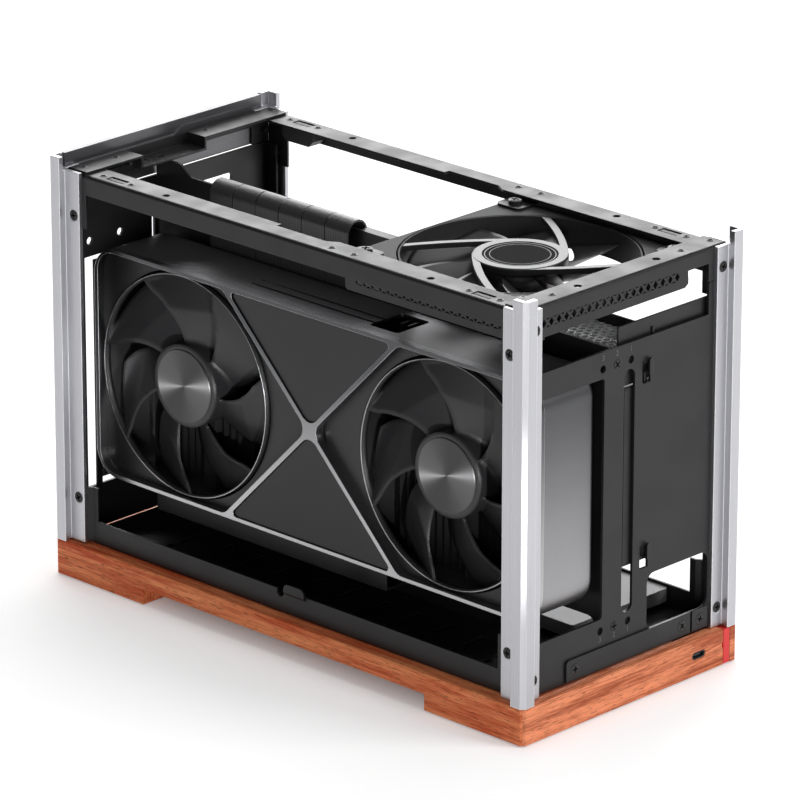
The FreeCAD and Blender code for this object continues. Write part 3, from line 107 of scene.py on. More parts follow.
def new_group(name, inputs, outputs):
    """Node group with number inputs and typed outputs; returns the tree, its input and its output node."""
    tree = bpy.data.node_groups.new(name, "ShaderNodeTree")
    for label in inputs:
        tree.interface.new_socket(label, in_out="INPUT", socket_type="NodeSocketFloat")
    for label, kind in outputs:
        tree.interface.new_socket(label, in_out="OUTPUT", socket_type=kind)
    return tree, tree.nodes.new("NodeGroupInput"), tree.nodes.new("NodeGroupOutput")


def new_material(name):
    """Node material with a Principled shader; returns the material, its tree and the shader."""
    made = bpy.data.materials.new(name)
    made.use_nodes = True
    tree = made.node_tree
    tree.nodes.clear()
    shader = add(tree, "ShaderNodeBsdfPrincipled")
    add(tree, "ShaderNodeOutputMaterial", {"Surface": shader.outputs["BSDF"]})
    return made, tree, shader


def soft_edge(tree, radius):
    """Socket with the normal rounded over near edges, as on a deburred or painted edge."""
    return add(tree, "ShaderNodeBevel", {"Radius": radius}, samples=6).outputs[0]


def bump(tree, height, strength, distance, normal):
    """Socket with the normal tilted by a height."""
    made = add(tree, "ShaderNodeBump", {"Strength": strength, "Distance": distance, "Height": height,
                                        "Normal": normal})
    return made.outputs[0]


def cover(material, *names):
    """Gives the material to CAD nodes."""
    for name in names:
        nodes[name].data.materials.clear()
        nodes[name].data.materials.append(material)


low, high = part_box("base_plinth")
grain, _, grain_out = new_group("mitred_grain", (), [("Tone", "NodeSocketFloat"),
                                                     ("Pores", "NodeSocketFloat"),
                                                     ("Ends", "NodeSocketFloat")])
split = add(grain, "ShaderNodeSeparateXYZ", {0: place_at(grain)})
side_gap = calc(grain, "SUBTRACT", high.x, calc(grain, "ABSOLUTE", split.outputs[0]))
end_gap = calc(grain, "SUBTRACT", high.y, calc(grain, "ABSOLUTE", split.outputs[1]))
on_end = calc(grain, "LESS_THAN", end_gap, side_gap)
along = add(grain, "ShaderNodeMix", {0: on_end, 2: split.outputs[1], 3: split.outputs[0]}).outputs[0]
across = add(grain, "ShaderNodeMix", {0: on_end, 2: split.outputs[0], 3: split.outputs[1]}).outputs[0]
board = add(grain, "ShaderNodeCombineXYZ", {0: along, 1: across, 2: split.outputs[2]}).outputs[0]


def streaks(length, width, detail):
    """Noise drawn out along the board, with the given numbers of streaks per metre."""
    stretch = (length, width, width)
    stretched = add(grain, "ShaderNodeVectorMath", {0: board, 1: stretch}, operation="MULTIPLY")
    return noise(grain, stretched.outputs[0], 1.0, detail)


bands = streaks(length=13.0, width=150.0, detail=4.0)
fibres = streaks(length=60.0, width=1000.0, detail=3.0)
pore_lines = streaks(length=190.0, width=2600.0, detail=1.0)
tone = calc(grain, "ADD", calc(grain, "MULTIPLY", bands, 0.6), calc(grain, "MULTIPLY", fibres, 0.4))
wire(grain, grain_out, {"Tone": remap(grain, tone, 0.36, 0.64),
                        "Pores": remap(grain, pore_lines, 0.6, 0.72), "Ends": on_end})

oiled_wood, tree, shader = new_material("oiled_wood")
grain_node = add(tree, "ShaderNodeGroup", node_tree=grain)
# The side boards are coloured lighter than the end boards: painted light on the sides.
end_wood = blend(tree, grain_node.outputs["Tone"], (0.42, 0.088, 0.030, 1), (1.0, 0.350, 0.170, 1))
side_wood_painted_light = blend(tree, grain_node.outputs["Tone"], (0.64, 0.100, 0.030, 1), (1.0, 0.355, 0.145, 1))
wood = blend(tree, grain_node.outputs["Ends"], side_wood_painted_light, end_wood)
wood = blend(tree, calc(tree, "MULTIPLY", grain_node.outputs["Pores"], 0.7), wood, (0.17, 0.034, 0.014, 1))
wood_height = calc(tree, "SUBTRACT", calc(tree, "MULTIPLY", grain_node.outputs["Tone"], 0.3),
                   grain_node.outputs["Pores"])
wood_rough = calc(tree, "ADD", 0.48, calc(tree, "MULTIPLY", grain_node.outputs["Pores"], 0.3))
wire(tree, shader, {"Base Color": wood, "Roughness": wood_rough, "Specular IOR Level": 0.22,
                    "Normal": bump(tree, wood_height, 0.25, 0.0003, soft_edge(tree, 0.0005))})
cover(oiled_wood, "base_plinth")


# Pads under the plinth: black rubber discs, moulded with a matt skin and glued into shallow sockets.
# The drive's feet are made of the same rubber.
fine, fine_in, fine_out = new_group("fine_skin", ("Scale", "Strength", "Distance", "Edge"),
                                    [("Grain", "NodeSocketFloat"), ("Normal", "NodeSocketVector")])
skin = noise(fine, place_at(fine), fine_in.outputs["Scale"])
rounded = soft_edge(fine, fine_in.outputs["Edge"])
wire(fine, fine_out, {"Grain": skin, "Normal": bump(fine, skin, fine_in.outputs["Strength"],
                                                    fine_in.outputs["Distance"], rounded)})


def fine_skin(tree, scale, strength, distance, edge):
    """Sockets with the grain and the normal of a fine even skin, its edges rounded over 'edge' metres."""
    values = {"Scale": scale, "Strength": strength, "Distance": distance, "Edge": edge}
    made = add(tree, "ShaderNodeGroup", values, node_tree=fine)
    return made.outputs["Grain"], made.outputs["Normal"]


pad_rubber, tree, shader = new_material("pad_rubber")
skin, normal = fine_skin(tree, scale=1800.0, strength=0.2, distance=0.0002, edge=0.0004)
wire(tree, shader, {"Base Color": blend(tree, skin, (0.012, 0.012, 0.012, 1), (0.03, 0.03, 0.03, 1)),
                    "Roughness": 0.8, "Normal": normal})
cover(pad_rubber, "foot_pads", "drive_feet")


# Corner posts: extruded aluminium, bead-blasted and clear anodised.
# The die leaves faint lines down the length, and the edges get a nearly white colour as a painted highlight.
# Edge mask: 1 on sharp edges; the materials below use it to paint the edges lighter as a painted highlight.
highlight_tree, highlight_in, highlight_out = new_group("painted_edge_highlight", ("Radius", "Low", "High"), [("Share", "NodeSocketFloat")])
flat = add(highlight_tree, "ShaderNodeNewGeometry").outputs["Normal"]
rounded = soft_edge(highlight_tree, highlight_in.outputs["Radius"])
both = add(highlight_tree, "ShaderNodeVectorMath", {0: rounded, 1: flat}, operation="DOT_PRODUCT")
lean = calc(highlight_tree, "SUBTRACT", 1.0, both.outputs["Value"])
wire(highlight_tree, highlight_out, {"Share": remap(highlight_tree, lean, highlight_in.outputs["Low"], highlight_in.outputs["High"])})


def edge_share(tree, radius, low, high):
    """Socket that is 1 on sharp edges, where the rounded normal leaves the flat one, and 0 elsewhere."""
    values = {"Radius": radius, "Low": low, "High": high}
    return add(tree, "ShaderNodeGroup", values, node_tree=highlight_tree).outputs["Share"]


anodised, tree, shader = new_material("post_aluminium")
blast = noise(tree, place_at(tree), 3200.0)
die_lines = noise(tree, place_at(tree, 1.0, 1.0, 0.012), 1500.0, 3.0)
metal = blend(tree, die_lines, (0.47, 0.47, 0.495, 1), (0.57, 0.57, 0.60, 1))
# Nearly white colour on the edges: a painted highlight.
metal = blend(tree, edge_share(tree, 0.0007, 0.02, 0.16), metal, (0.97, 0.97, 0.98, 1))
rough = calc(tree, "ADD", 0.34, calc(tree, "MULTIPLY", blast, 0.12))
wire(tree, shader, {"Base Color": metal, "Metallic": 1.0, "Roughness": rough,
                    "Normal": bump(tree, calc(tree, "ADD", blast, die_lines), 0.10, 0.0001,
                                   soft_edge(tree, 0.0006))})
cover(anodised, "post_front_card", "post_front_board", "post_rear_card", "post_rear_board")


# Painted frame: rails, plates, tray, bulkhead, brackets and shelf, folded from 1.2 and 1.5 mm steel.
# The black powder coat has a fine satin texture, and its edges get a lighter grey as a painted highlight.
black_steel, tree, shader = new_material("black_steel")
pebble = noise(tree, place_at(tree), 2600.0, 2.0)
patch = noise(tree, place_at(tree), 60.0, 3.0)
paint = blend(tree, patch, (0.008, 0.008, 0.009, 1), (0.014, 0.014, 0.015, 1))
# Lighter grey on the edges: a painted highlight.
paint = blend(tree, edge_share(tree, 0.0005, 0.03, 0.2), paint, (0.05, 0.05, 0.052, 1))
paint_rough = remap(tree, patch, 0.3, 0.7, 0.36, 0.46)
paint_normal = bump(tree, pebble, 0.12, 0.0001, soft_edge(tree, 0.0004))
wire(tree, shader, {"Base Color": paint, "Roughness": paint_rough, "Specular IOR Level": 0.36,
                    "Normal": paint_normal})
cover(black_steel, "rail_board_side", "rail_card_side", "rail_front", "rail_rear", "front_plate",
      "rear_plate", "front_strap", "front_strap_end", "floor_tray", "spine_plate", "riser_bracket",
      "vent_shelf", "hung_bracket", "fan_hanger_board_side", "fan_hanger_card_side")


# Cover bar across the back's top: a milled aluminium bar, anodised dark.
# The cutter leaves fine lines along its top.
dark_bar, tree, shader = new_material("cover_aluminium")
lines = noise(tree, place_at(tree, 0.02, 1.0, 1.0), 2400.0, 3.0)
wire(tree, shader, {"Base Color": blend(tree, lines, (0.10, 0.10, 0.105, 1), (0.20, 0.20, 0.21, 1)),
                    "Metallic": 0.8, "Roughness": remap(tree, lines, 0.3, 0.7, 0.3, 0.42),
                    "Normal": bump(tree, lines, 0.25, 0.0001, soft_edge(tree, 0.0003))})
cover(dark_bar, "rear_cover")


# Screws: blackened steel with a cross recess, countersunk in the posts and the front plate.
# Smaller ones of the same kind hold the rails together, seen from above as crosses painted dark.
screw_black, tree, shader = new_material("dark_screw")
recess = add(tree, "ShaderNodeAttribute", attribute_name="recess").outputs["Fac"]
grit = noise(tree, place_at(tree), 2000.0)
steel = blend(tree, grit, (0.020, 0.020, 0.021, 1), (0.036, 0.036, 0.037, 1))
# The cross recess and the ring groove are coloured near-black, matt and without gloss: painted shade in the
# recess.
wire(tree, shader, {"Base Color": blend(tree, recess, steel, (0.002, 0.002, 0.002, 1)),
                    "Metallic": remap(tree, recess, 0.0, 1.0, 0.4, 0.0),
                    "Roughness": remap(tree, recess, 0.0, 1.0, 0.34, 0.8),
                    "Specular IOR Level": remap(tree, recess, 0.0, 1.0, 0.5, 0.0)})
cover(screw_black, "post_screws", "front_screws", "fan_screws")


def mesh_piece(name, points, faces, material, shares=None, smooth=True):
    """Mesh object from arrays of points and faces, with an optional value per point in 'recess'."""
    mesh = bpy.data.meshes.new(name)
    mesh.from_pydata(points.tolist(), [], faces.tolist())
    if smooth:
        mesh.shade_smooth()
    if shares is not None:
        layer = mesh.attributes.new("recess", "FLOAT", "POINT")
        layer.data.foreach_set("value", np.asarray(shares, dtype=np.float32))
    mesh.materials.append(material)
    made = bpy.data.objects.new(name, mesh)
    bpy.context.scene.collection.objects.link(made)
    return made


def grid_faces(rows, columns, closed):
    """Quads of a grid of rows by columns, joined round the columns when closed."""
    i, j = np.meshgrid(np.arange(rows - 1), np.arange(columns if closed else columns - 1), indexing="ij")
    k = (j + 1) % columns
    return np.stack([i * columns + j, (i + 1) * columns + j, (i + 1) * columns + k, i * columns + k],
                    axis=-1).reshape(-1, 4)


AXES = {"-x": ((0, -1, 0), (0, 0, 1), (-1, 0, 0)), "+x": ((0, 1, 0), (0, 0, 1), (1, 0, 0)),
        "-y": ((1, 0, 0), (0, 0, 1), (0, -1, 0)), "+y": ((-1, 0, 0), (0, 0, 1), (0, 1, 0)),
        "+z": ((1, 0, 0), (0, 1, 0), (0, 0, 1))}


def drive_heads(name, places, radius, dome, slot, ring=0.0):
    """Screw heads as surfaces of turning: a low dome, minus a smooth cross recess, minus a ring groove.

    Height = dome * (1 - (r/R)^4) - dome * 0.8 * cross(u, v) - dome * 0.7 * groove(r)."""
    rings = 18
    turns = 44
    r, t = np.meshgrid(np.linspace(0.0, 1.0, rings) ** 0.9 * radius,
                       np.linspace(0.0, 2 * np.pi, turns, endpoint=False), indexing="ij")
    u = r * np.cos(t)
    v = r * np.sin(t)
    reach = radius * 0.62

    def inside(value, limit):
        return 1.0 / (1.0 + np.exp(np.clip((np.abs(value) - limit) / (radius * 0.035), -40, 40)))

    cross = np.maximum(inside(u, slot) * inside(v, reach), inside(v, slot) * inside(u, reach))
    groove = np.exp(-((r - ring) / (radius * 0.06)) ** 2) if ring else np.zeros_like(r)
    level = dome * (1 - (r / radius) ** 4) - dome * 0.8 * cross - dome * 0.7 * groove
    level[-1] = 0.0
    points = []
    faces = []
    shares = []
    base = grid_faces(rings, turns, True)
    for index, (spot, side) in enumerate(places):
        turn = math.radians(index * 37 % 90)
        right, up, out = (np.array(a, dtype=float) for a in AXES[side])
        a = u * math.cos(turn) - v * math.sin(turn)
        b = u * math.sin(turn) + v * math.cos(turn)
        cloud = (np.array(spot) + a[..., None] * right + b[..., None] * up + level[..., None] * out)
        faces.append(base + len(points) * r.size)
        points.append(cloud.reshape(-1, 3))
        shares.append(np.maximum(cross, groove).ravel())
    made = mesh_piece(name, np.concatenate(points), np.concatenate(faces), screw_black,
                      np.concatenate(shares))
    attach(made, "case")
    return made


flange_x = 0.0735
flange_y = 0.159
post_side_y = 0.1489
post_end_x = 0.066
side_heights = (0.044, 0.1944)
end_heights = (0.0302, 0.2064)
post_places = []
for sign in (-1, 1):
    for height in side_heights:
        post_places.append(((-flange_x, sign * post_side_y, height), "-x"))
        post_places.append(((flange_x, sign * post_side_y, height), "+x"))
    for height in end_heights:
        post_places.append(((sign * post_end_x, -flange_y, height), "-y"))
        post_places.append(((sign * post_end_x, flange_y, height), "+y"))
post_head = 0.0028
post_dome = 0.00035
head_slot = 0.00042
drive_heads("post_screw_drives", post_places, post_head, post_dome, head_slot)

plate_face = -0.1568
strap_face = -0.158
strap_height = 0.027
strap_screw_x = (-0.0355, 0.0415, 0.0545)
low_dome = 0.0003
front_places = [((x, strap_face, strap_height), "-y") for x in strap_screw_x]
drive_heads("strap_screw_drives", front_places, post_head, low_dome, head_slot)
index_x = -0.0069
index_heights = (0.0408, 0.1746)
index_head = 0.0031
index_slot = 0.0004
index_groove = 0.0024
index_places = [((index_x, plate_face, z), "-y") for z in index_heights]
drive_heads("index_screw_drives", index_places, index_head, low_dome, index_slot, index_groove)

rail_face = 0.2162
cross_face = 0.2174
rail_screw_x = 0.0656
rail_screw_y = (-0.1352, -0.1152, -0.0394, -0.0245, 0.1152, 0.1352)
front_screw_x = (-0.0665, -0.0453, 0.0453, 0.0665)
front_screw_y = -0.1497
rear_screw_x = (-0.0648, -0.0429, 0.0199, 0.0668)
rear_screw_y = 0.1505
rail_head = 0.0021
rail_places = [((side * rail_screw_x, y, rail_face), "+z") for side in (-1, 1) for y in rail_screw_y]
rail_places += [((x, front_screw_y, cross_face), "+z") for x in front_screw_x]
rail_places += [((x, rear_screw_y, cross_face), "+z") for x in rear_screw_x]
drive_heads("rail_screw_drives", rail_places, rail_head, low_dome, head_slot)
dip_place = (-0.0227, 0.1497, 0.2114)
dip_head = 0.0034
dip_dome = 0.0006
dip_groove = 0.0026
wide_slot = 0.0005
drive_heads("dip_screw_drive", [(dip_place, "+z")], dip_head, dip_dome, wide_slot, dip_groove)
fan_head = 0.0034
fan_dome = 0.0004
fan_head_share = 0.96
low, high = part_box("fan_screws")
fan_places = [((x, y, high.z), "+z") for x in (low.x + fan_head, high.x - fan_head)
              for y in (low.y + fan_head, high.y - fan_head)]
drive_heads("fan_screw_drives", fan_places, fan_head * fan_head_share, fan_dome, wide_slot)


# Panel clips, riser socket and plug: black glass-filled plastic, moulded with a fine matt skin.
# The clips sit under the slots of the long rails, and the switch behind the button is the same plastic.
clip_plastic, tree, shader = new_material("clip_plastic")
skin, normal = fine_skin(tree, scale=1500.0, strength=0.15, distance=0.0001, edge=0.0003)
wire(tree, shader, {"Base Color": blend(tree, skin, (0.014, 0.014, 0.015, 1), (0.026, 0.026, 0.027, 1)),
                    "Roughness": 0.5, "Normal": normal})
cover(clip_plastic, "panel_clips", "riser_socket", "riser_plug", "power_switch")


# Riser cable: six flat shielded ribbons with fine ribs along each strip.
# They fold over the bulkhead and keep their fold.
ribbon, tree, shader = new_material("ribbon")
ribs = add(tree, "ShaderNodeTexWave", {"Vector": place_at(tree), "Scale": 260.0, "Distortion": 0.0},
           bands_direction="Y").outputs["Fac"]
wire(tree, shader, {"Base Color": blend(tree, ribs, (0.018, 0.018, 0.019, 1), (0.05, 0.05, 0.052, 1)),
                    "Roughness": 0.32, "Specular IOR Level": 0.6,
                    "Normal": bump(tree, ribs, 0.3, 0.0002, soft_edge(tree, 0.0003))})
cover(ribbon, "riser_strips")


# Standoffs for the motherboard: turned brass pillars pressed into the bulkhead.
# The lathe leaves fine rings round them.
brass, tree, shader = new_material("standoff_brass")
cut = noise(tree, place_at(tree, 1.0, 0.1, 0.1), 3000.0)
wire(tree, shader, {"Base Color": blend(tree, cut, (0.45, 0.31, 0.12, 1), (0.62, 0.46, 0.20, 1)),
                    "Metallic": 1.0, "Roughness": 0.3, "Normal": soft_edge(tree, 0.0003)})
cover(brass, "board_standoffs")


# Case fan: a slim frame moulded in black plastic, whose four thin arms leave the boss along its rim.
# Nine blades turn below the arms on a shaft in the boss; a round label sits in the boss's top.
def turned(profile, centre, side, turns=96):
    """Points and faces of a surface of turning: each (radius, height) of the profile makes one circle."""
    radius, height = np.array(profile).T
    right, up, out = (np.array(a, dtype=float) for a in AXES[side])
    t = np.linspace(0.0, 2 * np.pi, turns, endpoint=False)
    points = (np.array(centre) + radius[:, None, None] * (np.cos(t)[None, :, None] * right
                                                          + np.sin(t)[None, :, None] * up)
              + height[:, None, None] * out)
    return points.reshape(-1, 3), grid_faces(len(radius), turns, True)


def joined(parts):
    """Points and faces of several surfaces put together as one."""
    starts = np.cumsum([0] + [len(p) for p, _ in parts[:-1]])
    return (np.concatenate([p for p, _ in parts]),
            np.concatenate([f + start for (_, f), start in zip(parts, starts)]))


def square_ring(centre, half, corner, bore, top, low):
    """Flat square ring with round corners and a round bore, closed over four edge curves.

    Outer curve = sign(direction) * (half - corner) + corner * direction; inner curve = bore * direction."""
    t = (np.arange(96) + 0.5) / 96 * 2 * np.pi
    aim = np.stack([np.cos(t), np.sin(t)], axis=-1)
    outer = np.sign(aim) * (half - corner) + corner * aim
    curves = ((bore * aim, top), (outer, top), (outer, low), (bore * aim, low), (bore * aim, top))
    points = [np.column_stack([curve + np.array(centre), np.full(len(t), z)]) for curve, z in curves]
    return np.concatenate(points), grid_faces(len(curves), len(t), True)


def swept_arm(centre, turn, reach, boss, bend, width, top, low):
    """Arm of rectangular section along an arc that starts on the boss's rim and ends at the reach.

    The arc's centre lies 'drop' behind the boss, so the arm leaves the rim along its tangent."""
    drop = bend - boss + width / 2
    end = np.arccos((bend ** 2 + drop ** 2 - reach ** 2) / (2 * bend * drop))
    angle = np.linspace(0.0, end, 24)[:, None]
    far, near = bend + width / 2, bend - width / 2
    radius = np.array([[far, near, near, far]])
    x = -radius * np.sin(angle)
    y = radius * np.cos(angle) - drop
    z = np.broadcast_to(np.array([[top, top, low, low]]), x.shape)
    points = np.stack([centre[0] + x * np.cos(turn) - y * np.sin(turn),
                       centre[1] + x * np.sin(turn) + y * np.cos(turn), z], axis=-1)
    return points.reshape(-1, 3), grid_faces(len(angle), 4, True)


def fan_blades(centre, count, root, tip, top, height, sweep, span, thick):
    """Blades as closed skins: turn = sweep * share + span * chord, level = top - height * chord.

    The share runs from root to tip and the chord from the upper edge to the lower one."""
    share = np.concatenate([[0.0], np.linspace(0.0, 1.0, 16), [1.0]])[:, None]
    full = np.concatenate([[0.0], np.ones(16), [0.0]])[:, None]
    chord = np.linspace(0.0, 1.0, 14)
    skin = np.sin(np.pi * (0.06 + 0.88 * chord)) * thick / 2
    chord = np.concatenate([chord, chord[::-1]])[None, :]
    skin = np.concatenate([skin, -skin[::-1]])[None, :]
    radius = root + (tip - root) * share
    level = top - height * (chord + 0.10 * np.sin(np.pi * chord)) + skin * full
    parts = []
    for k in range(count):
        turn = np.radians(sweep * share + span * chord * (0.72 + 0.28 * share) + 360.0 * k / count)
        points = np.stack([centre[0] + radius * np.cos(turn), centre[1] + radius * np.sin(turn),
                           np.broadcast_to(level, turn.shape)], axis=-1)
        parts.append((points.reshape(-1, 3), grid_faces(len(share), chord.shape[1], True)))
    return joined(parts)


low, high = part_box("fan_frame")
fan_middle = ((low.x + high.x) / 2, (low.y + high.y) / 2)
fan_top = high.z
fan_low = fan_top - 0.015
fan_half = (high.x - low.x) / 2
fan_bore = fan_half - 0.002
fan_wall = 0.0017
fan_plate = 0.0026
fan_corner = 0.009
fan_seat = fan_bore + fan_wall / 2
boss_radius = 0.0234
boss_bevel = 0.0006
boss_low = fan_top - 0.0036
arm_count = 4
arm_turn = 44.1
arm_bend = 0.202
arm_width = 0.0036
arm_top = fan_top - 0.0002
arm_low = fan_top - 0.0028
label_radius = 0.0185
label_sink = 0.0004
fan_plastic, tree, shader = new_material("fan_plastic")
skin, normal = fine_skin(tree, scale=1800.0, strength=0.08, distance=0.0001, edge=0.0005)
boss_top = (*fan_middle, fan_top)
spot = add(tree, "ShaderNodeVectorMath", {0: place_at(tree), 1: boss_top}, operation="DISTANCE")
rough = remap(tree, spot.outputs["Value"], fan_bore - 0.001, fan_bore, 0.34, 0.62)
wire(tree, shader, {"Base Color": blend(tree, skin, (0.014, 0.014, 0.015, 1), (0.024, 0.024, 0.026, 1)),
                    "Roughness": rough, "Specular IOR Level": 0.45, "Normal": normal})
barrel_profile = [(fan_bore, 0.0), (fan_bore + fan_wall, 0.0), (fan_bore + fan_wall, fan_low - fan_top),
                  (fan_bore, fan_low - fan_top), (fan_bore, 0.0)]
boss_profile = [(0.0, -label_sink), (label_radius, -label_sink), (label_radius, 0.0),
                (boss_radius - boss_bevel, 0.0), (boss_radius, -boss_bevel),
                (boss_radius, boss_low - fan_top), (0.0, boss_low - fan_top)]
parts = [square_ring(fan_middle, fan_half, fan_corner, fan_seat, fan_top, fan_top - fan_plate),
         square_ring(fan_middle, fan_half, fan_corner, fan_seat, fan_low + fan_plate, fan_low),
         turned(barrel_profile, boss_top, "+z"), turned(boss_profile, boss_top, "+z")]
for k in range(arm_count):
    turn = math.radians(arm_turn + 360.0 * k / arm_count)
    parts.append(swept_arm(fan_middle, turn, fan_seat, boss_radius, arm_bend, arm_width, arm_top, arm_low))
points, faces = joined(parts)
slim_frame = mesh_piece("slim_fan_frame", points, faces, fan_plastic, smooth=False)
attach(slim_frame, "case")
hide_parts("fan_frame")

blade_plastic, tree, shader = new_material("blade_plastic")
skin = noise(tree, place_at(tree), 900.0)
wire(tree, shader, {"Base Color": blend(tree, skin, (0.020, 0.020, 0.021, 1), (0.030, 0.030, 0.032, 1)),
                    "Roughness": 0.36, "Specular IOR Level": 0.6})
hub_radius = 0.021
hub_top = boss_low - 0.0006
hub_low = fan_low + 0.001
hub_bevel = 0.001
blade_count = 9
blade_root = hub_radius - 0.001
blade_tip = fan_bore - 0.0016
blade_top = hub_top - 0.0008
blade_height = 0.0082
blade_sweep = 24.0
blade_span = 34.0
blade_thick = 0.0012
hub_profile = [(0.0, hub_top), (hub_radius - hub_bevel, hub_top), (hub_radius, hub_top - hub_bevel),
               (hub_radius, hub_low), (0.0, hub_low)]
parts = [turned(hub_profile, (*fan_middle, 0.0), "+z"),
         fan_blades(fan_middle, blade_count, blade_root, blade_tip, blade_top, blade_height, blade_sweep,
                    blade_span, blade_thick)]
points, faces = joined(parts)
slim_rotor = mesh_piece("slim_fan_rotor", points, faces, blade_plastic)
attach(slim_rotor, "case_fan_rotor")
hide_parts("fan_rotor")

label_film, tree, shader = new_material("label_film")
spot = add(tree, "ShaderNodeVectorMath", {0: place_at(tree), 1: boss_top}, operation="DISTANCE")
printed = 0.0
for ring_radius, ring_half in ((0.0172, 0.00022), (0.0148, 0.00016)):
    off_ring = calc(tree, "ABSOLUTE", calc(tree, "SUBTRACT", spot.outputs["Value"], ring_radius))
    printed = calc(tree, "MAXIMUM", calc(tree, "LESS_THAN", off_ring, ring_half), printed)
wire(tree, shader, {"Base Color": blend(tree, printed, (0.006, 0.006, 0.007, 1), (0.60, 0.60, 0.61, 1)),
                    "Roughness": 0.8, "Specular IOR Level": 0.06})
label_top = label_sink / 2
film = [(0.0, label_top), (label_radius, label_top), (label_radius, 0.0), (0.0, 0.0)]
points, faces = turned(film, (*fan_middle, fan_top - label_sink), "+z")
label = mesh_piece("fan_label", points, faces, label_film, smooth=False)
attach(label, "case")


# Perforated shelf behind the front plate: a folded sheet punched with a fine honeycomb.
# A near-black sheet lies below the holes as painted shade, the honeycomb's walls are bright metal as a
# painted reflection, the outer edge is turned up, and a tab meets the front plate.
def rounded_block(low, high, radius):
    """Block with rounded edges: corner of the inner block plus radius times a direction on the sphere."""
    steps = 6
    polar = (np.arange(steps) + 0.5) / steps * np.pi
    turn = (np.arange(2 * steps) + 0.5) / steps * np.pi
    p, t = np.meshgrid(polar, turn, indexing="ij")
    aim = np.stack([np.sin(p) * np.cos(t), np.sin(p) * np.sin(t), np.cos(p)], axis=-1)
    low, high = np.array(low), np.array(high)
    middle = (low + high) / 2
    points = middle + np.sign(aim) * ((high - low) / 2 - radius) + radius * aim
    top, bottom = points[:1].copy(), points[-1:].copy()
    top[..., :2] = middle[:2]
    bottom[..., :2] = middle[:2]
    points = np.concatenate([top, points, bottom])
    return points.reshape(-1, 3), grid_faces(steps + 2, 2 * steps, True)


def honeycomb(rows, columns, start, pitch, across, top, low):
    """Honeycomb of holes: each cell is a hexagonal ring between its border and its hole, closed below."""
    turn = np.arange(6) * np.pi / 3
    aim = np.stack([np.cos(turn), np.sin(turn)], axis=-1)
    i, j = np.meshgrid(np.arange(rows), np.arange(columns), indexing="ij")
    x = start[0] + i * pitch * np.sqrt(3) / 2
    y = start[1] + (j + 0.5 * (i % 2)) * pitch
    middle = np.stack([x, y], axis=-1).reshape(-1, 1, 2)
    border, hole = pitch / np.sqrt(3) * aim, across / np.sqrt(3) * aim
    curves = ((border, low), (hole, low), (hole, top), (border, top))
    layers = []
    for curve, z in curves:
        layers.append(np.concatenate([middle + curve, np.full((len(middle), 6, 1), z)], axis=-1))
    points = np.stack(layers, axis=1)
    faces = grid_faces(len(curves), 6, True)[None] + np.arange(len(middle))[:, None, None] * 24
    return points.reshape(-1, 3), faces.reshape(-1, 4)


low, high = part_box("vent_shelf")
shelf_wall = 0.0012
shelf_lip = 0.004
shelf_top = high.z - shelf_lip
shelf_low = shelf_top - shelf_wall
cell_pitch = 0.0043
cell_hole = 0.0032
cell_rows = 6
cell_columns = 10
cell_start = (low.x + 0.0042, low.y + 0.0048)
cells_x = cell_start[0] + (cell_rows - 1) * cell_pitch * math.sqrt(3) / 2
cells_y = cell_start[1] + (cell_columns - 0.5) * cell_pitch
rim_top = shelf_top - 0.00004
rim_radius = 0.0003
rim_under_x = 0.0018
rim_under_y = 0.0017
parts = [rounded_block((low.x, low.y, shelf_low), (cell_start[0] - rim_under_x, high.y, rim_top), rim_radius),
         rounded_block((cells_x + rim_under_x, low.y, shelf_low), (high.x, high.y, rim_top), rim_radius),
         rounded_block((low.x, low.y, shelf_low), (high.x, cell_start[1] - rim_under_y, rim_top), rim_radius),
         rounded_block((low.x, cells_y + rim_under_y, shelf_low), (high.x, high.y, rim_top), rim_radius),
         rounded_block((high.x - shelf_wall, low.y, shelf_low), (high.x, high.y, high.z), rim_radius),
         rounded_block((low.x, low.y, low.z), (high.x, low.y + shelf_wall, shelf_top), rim_radius)]
points, faces = joined(parts)
shelf = mesh_piece("shelf_frame", points, faces, black_steel, smooth=False)
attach(shelf, "case")
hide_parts("vent_shelf")
# Bright metal on the honeycomb's walls: a painted reflection on the black sheet.
painted_sheen_steel, tree, shader = new_material("painted_sheen_steel")
sheen_speckle = noise(tree, place_at(tree), 2600.0)
wire(tree, shader, {"Base Color": blend(tree, sheen_speckle, (0.80, 0.80, 0.81, 1), (0.95, 0.95, 0.96, 1)),
                    "Metallic": 0.8, "Roughness": 0.42})
points, faces = honeycomb(cell_rows, cell_columns, cell_start, cell_pitch, cell_hole, shelf_top, shelf_low)
grid = mesh_piece("shelf_honeycomb", points, faces, painted_sheen_steel, smooth=False)
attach(grid, "case")
# Near-black sheet below the holes, so that they read dark: painted shade.
shade_sheet, tree, shader = new_material("painted_shade_sheet")
sheet_speckle = noise(tree, place_at(tree), 4000.0)
wire(tree, shader, {"Base Color": blend(tree, sheet_speckle, (0.003, 0.003, 0.003, 1), (0.009, 0.009, 0.009, 1)),
                    "Roughness": 0.9, "Specular IOR Level": 0.1})
shade_sheet_gap = 0.0004
shade_sheet_low = shelf_low - 0.0014
shade_sheet_inset = 0.001
points, faces = rounded_block((low.x + shade_sheet_inset, low.y + 2 * shade_sheet_inset, shade_sheet_low),
                              (high.x - shade_sheet_inset, high.y - shade_sheet_inset, shelf_low - shade_sheet_gap), rim_radius)
shelf_sheet = mesh_piece("shelf_shade_sheet", points, faces, shade_sheet, smooth=False)
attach(shelf_sheet, "case")


